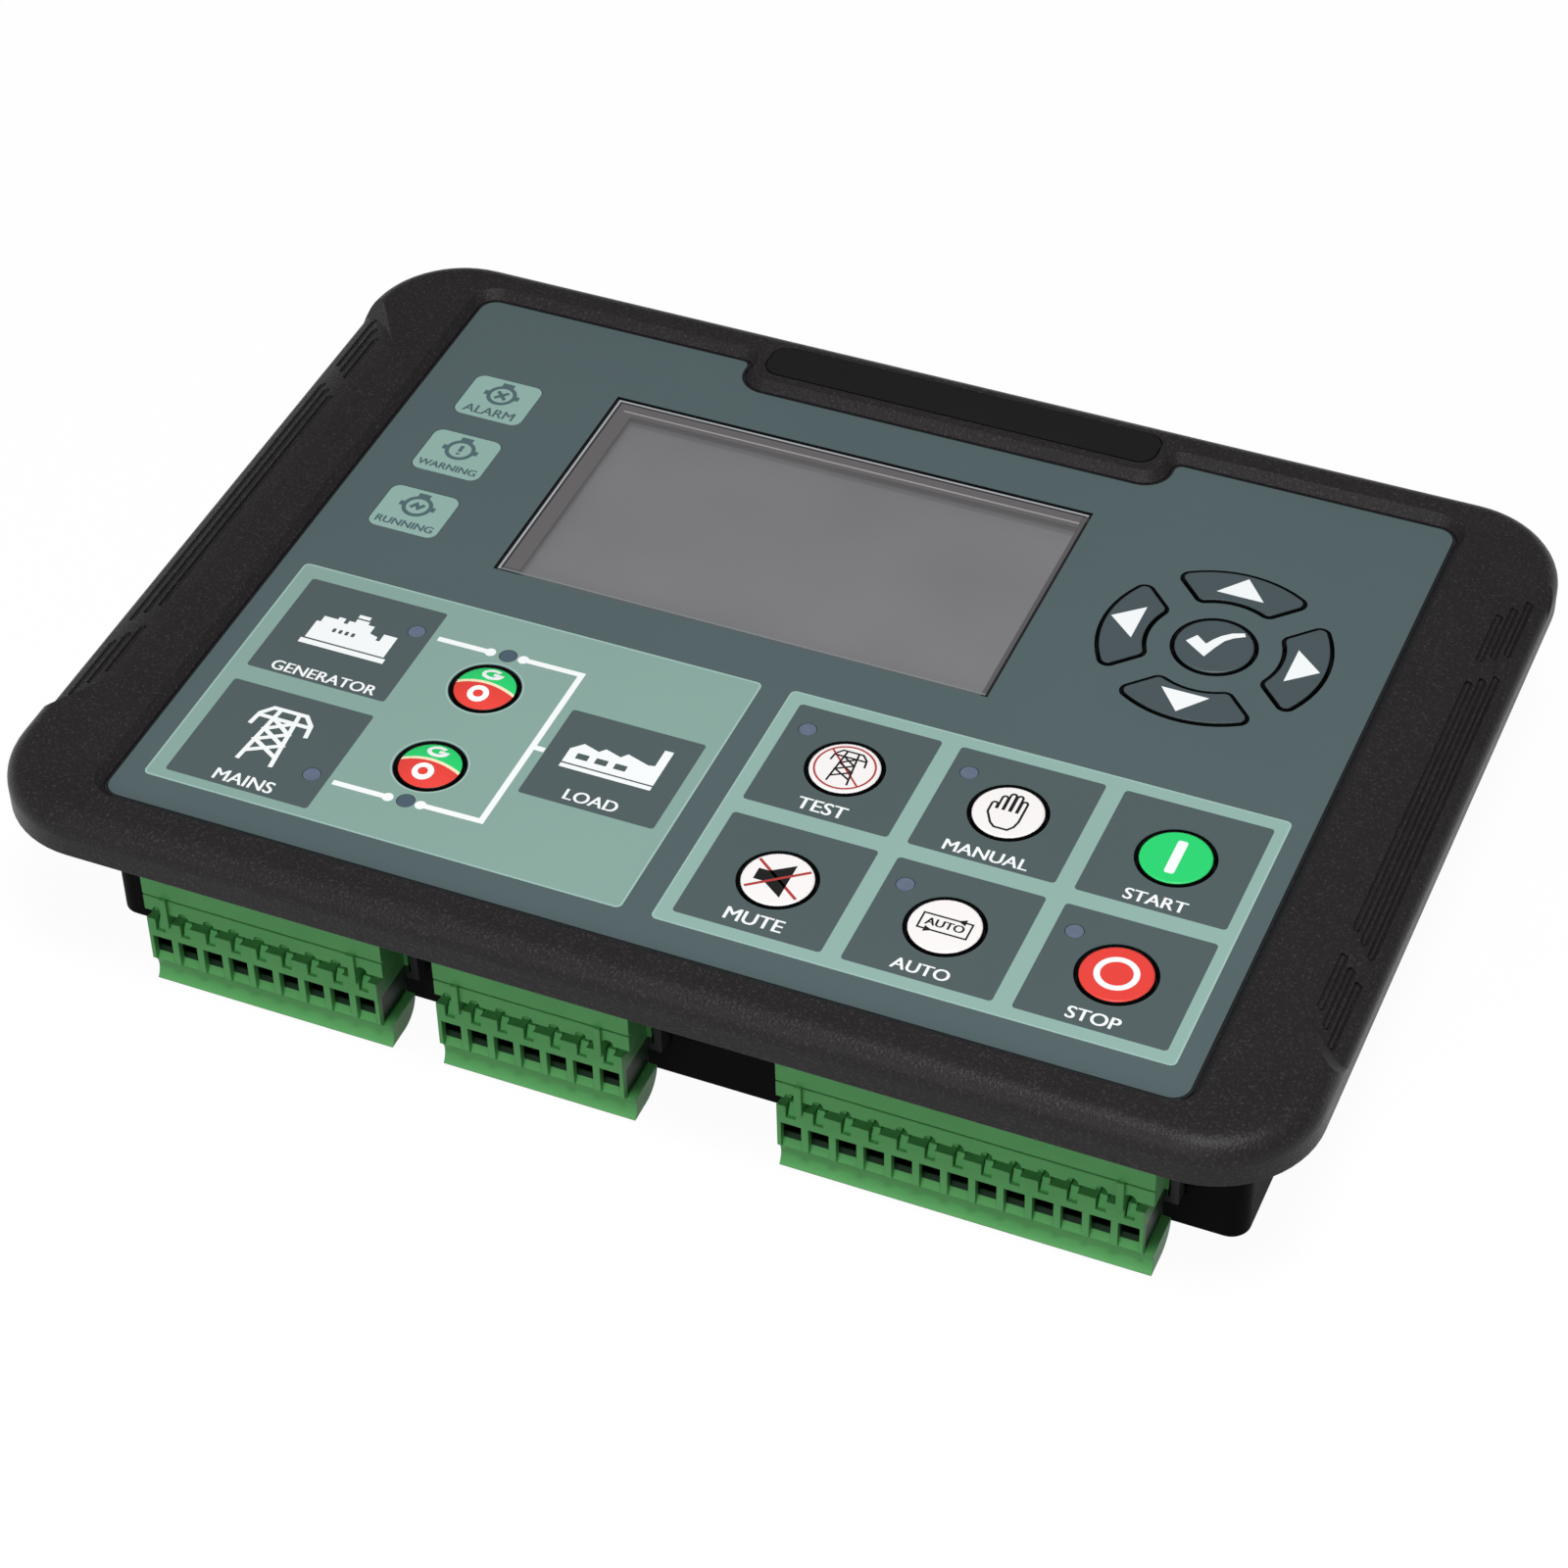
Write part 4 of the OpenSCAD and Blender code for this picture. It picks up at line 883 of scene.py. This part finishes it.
def engine_set(x, y, size):
    """An engine on a base frame, with its radiator, stack and alternator."""
    block = [(-8.2, -3.0), (-8.2, 1.9), (-7.4, 1.9), (-7.4, 3.6), (-4.6, 3.6), (-4.6, 4.3), (-3.2, 4.3),
             (-3.2, 3.0), (-2.4, 3.0), (-2.4, 4.0), (-1.2, 4.0), (-1.2, 5.0), (1.4, 5.0), (1.4, 4.2),
             (2.8, 4.2), (2.8, 2.2), (4.6, 1.7), (4.6, 0.8), (5.4, 0.8), (5.4, 2.9), (8.2, 2.9), (8.2, -3.0)]
    vent = rounded(-4.2, 0.0, -3.5, 1.1, VENT_R)
    vents = [shifted(vent, index * VENT_STEP, 0) for index in range(VENTS)]
    cap = oblong(-1.3, 5.4, 1.1, 6.3)
    rail = oblong(-8.8, -4.7, 8.8, -3.4)
    return [stamp_at(outlines, x, y, size) for outlines in ([block] + vents, [cap], [rail])]


def tower(x, y, size, width):
    """A lattice tower for overhead lines."""
    roof = [(-4.8, 1.3), (-4.4, 4.0), (-2.8, 5.8), (2.8, 5.8), (4.4, 4.0), (4.8, 1.3)]
    lines = [roof, ((-4.4, 3.6), (4.4, 3.6))]
    rungs = [(-4.4, 2.6), (-1.6, 2.3), (1.0, 2.0), (3.6, 1.8)]
    for side in (-1, 1):
        lines.append(((side * 2.85, -6.5), (side * 1.6, 5.8)))
        lines.append([(side * reach * (-1) ** index, level) for index, (level, reach) in enumerate(rungs)])
    return [stamp_at(ribbon(line, width / size), x, y, size) for line in lines]


def workshop(x, y):
    """A workshop with a low saw-tooth roof, windows and a chimney."""
    walls = [(-7.4, -2.5), (-7.4, 0.4), (-5.8, 2.0), (-3.2, 1.2), (-2.4, 2.1), (0.2, 1.3), (1.0, 2.3),
             (4.6, 1.2), (5.6, 1.4), (5.6, 5.0), (7.0, 5.0), (7.0, -2.5)]
    window = rounded(-5.9, -1.3, -4.0, -0.1, WINDOW_R)
    windows = [shifted(window, index * WINDOW_STEP, 0) for index in range(WINDOWS)]
    base = oblong(-7.4, -3.6, 7.0, -2.8)
    return [stamp_at(outlines, x, y) for outlines in ([walls] + windows, [base])]


print("pictures ready")

# %% [markdown]
# Lines, dots, words and pictures become one sheet of white ink. The words are set in Blender's own plain
# font, each to the width that it has on the panel, so their height follows by itself.

# %% White print
LINE = 0.95
DOT = 0.85
mimic_lines = [
    ((-51.6, -15.4), (-43.0, -15.3)),
    ((-37.7, -15.1), (-28.2, -15.0), (-28.3, -48.8), (-37.8, -49.0)),
    ((-51.7, -49.3), (-42.9, -49.2)),
    ((-28.0, -31.9), (-26.3, -31.9)),
]
dots = [(-43.0, -15.3), (-37.7, -15.1), (-37.8, -49.0), (-42.9, -49.2)]
# Each word has its middle, across and up, and its width.
words = [
    ("GENERATOR", -63.5, -29.6, 17.0), ("MAINS", -63.8, -53.9, 9.4), ("LOAD", -15.6, -39.3, 8.2),
    ("TEST", 15.6, -28.5, 7.4), ("MANUAL", 40.6, -28.9, 12.6), ("START", 65.7, -28.8, 9.1),
    ("MUTE", 15.5, -52.9, 8.6), ("AUTO", 40.5, -53.3, 8.4), ("STOP", 65.4, -53.3, 7.6),
]
white = [stamp(ribbon(line, LINE)) for line in mimic_lines]
white += [stamp([disc(x, y, DOT, SMALL_STEPS)]) for x, y in dots]
for entry in words:
    white += bold_word(*entry)
white += engine_set(x=-63.8, y=-19.9, size=0.8)
white += tower(x=-64.3, y=-43.7, size=0.95, width=0.7)
white += workshop(x=-15.6, y=-30.6)
lay("print_white", white, ink_top, white_ink, UNIT)

# %% [markdown]
# A thin dark line of painted shade, for the gap between the film and the case, runs along the film's cut
# edge.
# It follows the notch that clears the nameplate's tab, so the outline is walked once and set inwards for the
# inner side of the line.

# %% Edge line of the film
NOTCH_X = 0.9
NOTCH_HALF = 35.75
NOTCH_DROP = 6.75
NOTCH_R = 4.25
SHOULDER_R = 1.5
CORNER_R = 3.0
EDGE_GAP = 0.02
EDGE = 0.36
film_low, film_high = (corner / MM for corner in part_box("front_film"))


def film_outline(inset):
    radius = CORNER_R - inset
    shoulder = SHOULDER_R - inset
    bend = NOTCH_R + inset
    left, right = film_low.x + CORNER_R, film_high.x - CORNER_R
    foot, head = film_low.y + CORNER_R, film_high.y - CORNER_R
    shoulder_y = film_high.y - SHOULDER_R
    bend_y = film_high.y - NOTCH_DROP + NOTCH_R
    far_shoulder, far_bend = NOTCH_HALF + SHOULDER_R, NOTCH_HALF - NOTCH_R
    points = arc(left, foot, radius, 180, 270)
    points += arc(right, foot, radius, 270, 360)
    points += arc(right, head, radius, 0, 90)
    points += arc(NOTCH_X + far_shoulder, shoulder_y, shoulder, 90, 180)
    points += arc(NOTCH_X + far_bend, bend_y, bend, 360, 270)
    points += arc(NOTCH_X - far_bend, bend_y, bend, 270, 180)
    points += arc(NOTCH_X - far_shoulder, shoulder_y, shoulder, 0, 90)
    return points + arc(left, head, radius, 90, 180)


# Painted shade: a dark line for the gap between the film and the case.
edge_print = [stamp([film_outline(EDGE_GAP), film_outline(EDGE)])]
lay("print_film_gap_shade", edge_print, film_top, gap_shade_ink, UNIT)

# %% [markdown]
# The display sits behind a clear pane, let into the film. Along the pane's upper and left sides a thin
# painted highlight stands for its bright cut edge, with a dark line of painted shade inside it and then a
# slightly darker band of painted shade. A painted glint runs within that band along the top, and a paler
# painted highlight along the pane's foot. As clear edges they would come and go with the view, so they are
# laid on the pane as ink.

# %% Display window
PANE_EDGE = 0.38
PANE_SHADE = 0.75
SHADE_BAND_REACH = 3.4
PANE_FOOT = 0.25
GLINT_DROP = 2.3
GLINT_WIDE = 0.3
GLINT_SIDE = 1.9
pane_low, pane_high = (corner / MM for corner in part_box("display_window"))
pane_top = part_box("display_window")[1].z


def pane_angle(outer, inner):
    """A band of ink along the pane's upper and left sides, between two distances from its edge."""
    x0, y0 = pane_low.x + outer, pane_low.y + outer
    x1, y1 = pane_high.x - outer, pane_high.y - outer
    reach = inner - outer
    inner_x, inner_y = x0 + reach, y1 - reach
    return stamp([[(x0, y1), (x0, y0), (inner_x, y0), (inner_x, inner_y), (x1, inner_y), (x1, y1)]])


pane_highlight_ink = ink("ink_pane_highlight", rgb(168, 172, 175), rgb(156, 160, 163))
shade_ink = ink("ink_pane_shade", rgb(56, 55, 58), rgb(48, 47, 50))
shade_band_ink = ink("ink_shade_band", rgb(100, 97, 99), rgb(94, 91, 93))
glint_ink = ink("ink_glint", rgb(158, 156, 158), rgb(146, 144, 146))
foot_highlight_ink = ink("ink_foot_highlight", rgb(128, 138, 139), rgb(118, 128, 129))
# Painted highlight for the pane's cut edge, painted shade inside it, and a band of painted shade beyond.
lay("pane_edge", [pane_angle(EDGE_GAP, PANE_EDGE)], pane_top, pane_highlight_ink, UNIT)
lay("pane_shade", [pane_angle(PANE_EDGE, PANE_SHADE)], pane_top, shade_ink, UNIT)
lay("display_shade_band", [pane_angle(PANE_SHADE, SHADE_BAND_REACH)], pane_top, shade_band_ink, UNIT)
# A painted glint along the top of the pane.
glint_y = pane_high.y - GLINT_DROP
glint = oblong(pane_low.x + GLINT_SIDE, glint_y - GLINT_WIDE, pane_high.x - PANE_SHADE, glint_y)
lay("pane_glint", [stamp([glint])], pane_top + INK * MM, glint_ink, UNIT)
# A painted highlight along the pane's foot.
pane_foot = oblong(pane_low.x + PANE_EDGE, pane_low.y, pane_high.x, pane_low.y + PANE_FOOT)
lay("pane_foot", [stamp([pane_foot])], pane_top + INK * MM, foot_highlight_ink, UNIT)

# %% [markdown]
# Each status window carries a small sign above its word: a round engine mark with a lug on top and one on
# each side, and inside it a cross, a bar with a dot, or a wave. The marks are the same three times, so one
# loop draws them.

# %% Status windows
STATUS = (("ALARM", 8.6), ("WARNING", 9.9), ("RUNNING", 9.6))
STATUS_HEIGHT = 10.2
WORD_DROP = 3.4
MARK_RISE = 1.2
MARK_OUTER = 2.45
MARK_INNER = 1.8
MARK_STEPS = 32
MARK_STROKE = 0.6
TOP_LUG = (-1.0, 2.2, 1.0, 3.1)
SIDE_LUG = (2.2, -0.5, 3.0, 0.5)
status_low, status_high = (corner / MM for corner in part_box("status_lenses"))
status_x = (status_low.x + status_high.x) / 2
status_step = (status_high.y - status_low.y - STATUS_HEIGHT) / 2
signs = {
    "ALARM": [((-0.9, -0.9), (0.9, 0.9)), ((-0.9, 0.9), (0.9, -0.9))],
    "WARNING": [((0, -0.35), (0, 1.1)), ((0, -1.1), (0, -0.75))],
    "RUNNING": [((-1.0, -0.5), (-0.3, 0.5), (0.3, -0.4), (1.0, 0.6))],
}
mark_ring = [disc(0, 0, MARK_OUTER, MARK_STEPS), disc(0, 0, MARK_INNER, MARK_STEPS)]
right_lug = oblong(*SIDE_LUG)
left_lug = [(-x, y) for x, y in right_lug]
mark = [mark_ring, [oblong(*TOP_LUG)], [left_lug], [right_lug]]
status_print = []
for index, (text, width) in enumerate(STATUS):
    y = status_high.y - STATUS_HEIGHT / 2 - index * status_step
    drawing = mark + [ribbon(line, MARK_STROKE) for line in signs[text]]
    status_print += bold_word(text, status_x, y - WORD_DROP, width)
    status_print += [stamp_at(outlines, status_x, y + MARK_RISE) for outlines in drawing]
lay("print_status", status_print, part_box("status_lenses")[1].z, slate_ink, UNIT)

# %% [markdown]
# Signs on the keys ride with their keys. The cursor keys have plain arrows, which point away from the
# middle key, so one arrow is turned four times. The middle key has a tick.

# %% Cursor signs
ARROW_HALF = 3.7
ARROW_LENGTH = 4.4
# Each arrow has its turn, its distance from the middle key, and how far it sits to one side.
ARROWS = {"key_up": (90, 12.0, 0.0), "key_left": (180, 12.1, -1.0), "key_down": (270, 11.4, -0.6),
          "key_right": (0, 11.9, -0.1)}
TICK_HOOK = [(-4.3, -0.4), (-3.1, 1.4), (-1.3, 0.0)]
TICK_INNER = [(-0.6, 1.3), (0.3, 2.5), (1.6, 3.6), (3.3, 4.3)]
TICK_OUTER = [(3.7, 3.6), (2.2, 2.7), (1.1, 1.6), (0.2, -0.4), (-0.7, -2.8)]


def key_stamp(node, outlines):
    """A piece of ink whose outlines are drawn round a key's middle."""
    return stamp_at(outlines, *key_place(node))


def key_print(name, node, pieces, finish):
    """Lays a print on a key, to move with it."""
    body = frame["nodes"][node]["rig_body"]
    return lay(name, pieces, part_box(node)[1].z, finish, body)


for node, (turn, distance, shift) in ARROWS.items():
    ahead = Vector((math.cos(math.radians(turn)), math.sin(math.radians(turn))))
    aside = Vector((-ahead.y, ahead.x))
    base = Vector(key_place("key_enter")) + ahead * distance + aside * shift
    arrow = [base + aside * ARROW_HALF, base - aside * ARROW_HALF, base + ahead * ARROW_LENGTH]
    key_print(f"arrow_{node}", node, [stamp([arrow])], white_ink)
tick = key_stamp("key_enter", [TICK_HOOK + TICK_INNER + TICK_OUTER])
key_print("tick", "key_enter", [tick], white_ink)

# %% [markdown]
# The start key has a bar and the stop key a ring, as on any switch. The test key shows the tower again,
# small and crossed out, for a test without the mains.

# %% Start, stop and test signs
BAR = (-0.75, -3.4, 0.75, 3.4)
BAR_R = 0.4
RING_OUTER = 3.2
RING_INNER = 2.3
TOWER_RISE = 0.2
BAN_OUTER = 4.6
BAN_INNER = 4.3
BAN_REACH = 3.05
BAN_STROKE = 0.3


def strokes(node, lines, width):
    return [key_stamp(node, ribbon(line, width)) for line in lines]


bar = key_stamp("key_start", [rounded(*BAR, BAR_R)])
key_print("sign_start", "key_start", [bar], white_ink)
ring = key_stamp("key_stop", [disc(0, 0, RING_OUTER), disc(0, 0, RING_INNER)])
key_print("sign_stop", "key_stop", [ring], white_ink)

test_x, test_y = key_place("key_test")
small_tower = tower(test_x, test_y + TOWER_RISE, size=0.55, width=0.3)
key_print("sign_test", "key_test", small_tower, black_ink)
ban = [key_stamp("key_test", [disc(0, 0, BAN_OUTER), disc(0, 0, BAN_INNER)])]
ban += strokes("key_test", [((-BAN_REACH, BAN_REACH), (BAN_REACH, -BAN_REACH))], BAN_STROKE)
key_print("sign_test_ban", "key_test", ban, red_ink)

# %% [markdown]
# The other white keys carry line drawings: a hand for work by hand, a crossed-out horn to silence it, and a
# word in a loop of two arrows for work by itself. A hand is five fingers, each an open arch, over a palm.

# %% Hand, horn and loop signs
FINGERS = ((-2.4, 0.9), (-1.4, 2.5), (-0.4, 3.3), (0.65, 3.2), (1.65, 2.3))
FINGER_R = 0.42
KNUCKLES = 0.1
PALM = [(-2.82, 0.2), (-2.82, -0.9), (-1.7, -2.9), (-0.9, -3.6), (1.1, -3.6), (1.8, -2.7), (2.07, -1.5),
        (2.07, 0.2)]
HAND_STROKE = 0.34
HORN = [(-3.3, -1.1), (-3.3, 1.1), (-1.7, 1.1), (1.6, 3.4), (1.6, -3.4), (-1.7, -1.1)]
CROSS_X = 3.9
CROSS_Y = 2.9
CROSS_STROKE = 0.45
LOOP_X = 3.6
LOOP_Y = 1.5
LOOP_STROKE = 0.28
LOOP_WORD = 5.6
HEAD_BACK = 2.6
HEAD_TIP = 1.4
HEAD_HALF = 0.6

hand = [[(x - FINGER_R, KNUCKLES)] + arc(x, tip, FINGER_R, 180, 0) + [(x + FINGER_R, KNUCKLES)]
        for x, tip in FINGERS]
hand.append(PALM)
key_print("sign_manual", "key_manual", strokes("key_manual", hand, HAND_STROKE), black_ink)

key_print("sign_mute", "key_mute", [key_stamp("key_mute", [HORN])], black_ink)
cross_lines = [((-CROSS_X, side * CROSS_Y), (CROSS_X, -side * CROSS_Y)) for side in (1, -1)]
cross = strokes("key_mute", cross_lines, CROSS_STROKE)
key_print("sign_mute_cross", "key_mute", cross, red_ink)

loop_line = oblong(-LOOP_X, -LOOP_Y, LOOP_X, LOOP_Y)
loop = [key_stamp("key_auto", ribbon(loop_line, LOOP_STROKE, closed=True))]
loop += bold_word("AUTO", *key_place("key_auto"), LOOP_WORD)
for side in (-1, 1):
    level = side * LOOP_Y
    back = side * HEAD_BACK
    head = [(back, level + HEAD_HALF), (back, level - HEAD_HALF), (side * HEAD_TIP, level)]
    loop.append(key_stamp("key_auto", [head]))
key_print("sign_auto", "key_auto", loop, black_ink)

# %% [markdown]
# The two breaker keys are slightly domed, with a zero on the lower half and a hooked ring on the upper one.
# A flat print would float at the rim of the dome, so these signs are bent down to it, point by point.

# %% Breaker signs
DOME = 16.13
DOME_LIFT = 0.04
ZERO = (-0.2, -1.85)
ZERO_HALF = (1.65, 1.6)
ZERO_STROKE = 0.88
HOOK = (0.0, 2.75, 1.35)
HOOK_TURN = (50, 360)
HOOK_STEPS = 18
HOOK_FLAT = 0.75
HOOK_END = 0.2
HOOK_STROKE = 0.65


def oval(half_w, half_h):
    return [(ZERO[0] + half_w * x, ZERO[1] + half_h * y) for x, y in disc(0, 0, 1, MARK_STEPS)]


def settle(sheet, x, y):
    """Bends a flat print down to a dome round a point."""
    for vertex in sheet.data.vertices:
        reach = math.hypot(vertex.co.x / MM - x, vertex.co.y / MM - y)
        vertex.co.z -= (DOME - math.sqrt(DOME * DOME - reach * reach) - DOME_LIFT) * MM


zero = [oval(*ZERO_HALF), oval(*(half - ZERO_STROKE for half in ZERO_HALF))]
bow = [(x, HOOK[1] + (y - HOOK[1]) * HOOK_FLAT) for x, y in arc(*HOOK, *HOOK_TURN, HOOK_STEPS)]
hook = ribbon(bow + [(HOOK[0] + HOOK_END, HOOK[1])], HOOK_STROKE)
for node in BREAKER_KEYS:
    marks = [key_stamp(node, zero), key_stamp(node, hook)]
    settle(key_print(f"sign_{node}", node, marks, white_ink), *key_place(node))

# %% [markdown]
# The stage is a wide floor. The camera and every mirror or glass see it nearly white with a soft shadow,
# while by its own colour it throws little light back on the unit, so that sides turned away from the lamps
# stay deep. A floor that is simply white would light the unit from below and wash those sides out.

# %% Floor
FLOOR_SIZE = 12.0
FLOOR_LEVEL = -0.5
FLOOR_GREY = (0.2, 0.2, 0.2, 1)
FLOOR_WHITE = 0.82
FLOOR_GLOW = 1.17
SEEN_RAYS = ("Is Camera Ray", "Is Glossy Ray", "Is Transmission Ray")


def seen_rays(finish):
    """One for rays that come from the camera, a mirror or a glass, and nothing for the rest."""
    seen = 0.0
    for ray in SEEN_RAYS:
        path = finish.node("ShaderNodeLightPath", out=ray)
        seen = finish.node("ShaderNodeMath", {"operation": "ADD", "use_clamp": True}, {0: seen, 1: path})
    return seen


clear_selection()
bpy.ops.mesh.primitive_plane_add(size=FLOOR_SIZE, location=(0, 0, FLOOR_LEVEL * MM))
floor = bpy.context.object
floor.name = "floor"
bpy.ops.object.transform_apply(location=True, rotation=True, scale=True)
paper = Finish("floor_paper", Base_Color=FLOOR_GREY, Roughness=0.9, Specular_IOR_Level=0.0)
paper_shade = Wire(paper, paper.shader.outputs[0])
glow = paper.node("ShaderNodeEmission", sockets={"Strength": FLOOR_GLOW})
white_share = seen_rays(paper) * FLOOR_WHITE
blend = paper.node("ShaderNodeMixShader", sockets={0: white_share, 1: paper_shade, 2: glow})
paper.put(paper.tree.nodes["Material Output"], "Surface", blend)
floor.data.materials.append(paper.material)
print("floor ready")

# %% [markdown]
# The light is that of a plain studio: a lamp high above the unit, a little in front of it and to the right,
# a weaker and broader one low in front, and a dim room. One lamp alone would leave the plugs black, and a
# bright room would take the form out of the case.

# %% Light
ROOM = 0.16
WHITE = (1, 1, 1, 1)


def lamp(name, place, size, watts):
    bpy.ops.object.light_add(type="AREA", location=place)
    light = bpy.context.object
    light.name = name
    light.data.shape = "RECTANGLE"
    light.data.size, light.data.size_y = size
    light.data.energy = watts
    light.rotation_euler = (-Vector(place)).to_track_quat("-Z", "Y").to_euler()
    print(name, watts, "W")


lamp("key_lamp", place=(0.2, -0.34, 1.0), size=(0.22, 0.2), watts=10.0)
lamp("front_lamp", place=(-0.1, -1.0, 0.5), size=(0.6, 0.4), watts=3.8)
world = bpy.data.worlds.new("studio")
bpy.context.scene.world = world
world.use_nodes = True
sky = world.node_tree.nodes["Background"]
sky.inputs["Color"].default_value = WHITE
sky.inputs["Strength"].default_value = ROOM
bpy.context.scene.view_settings.view_transform = "Standard"
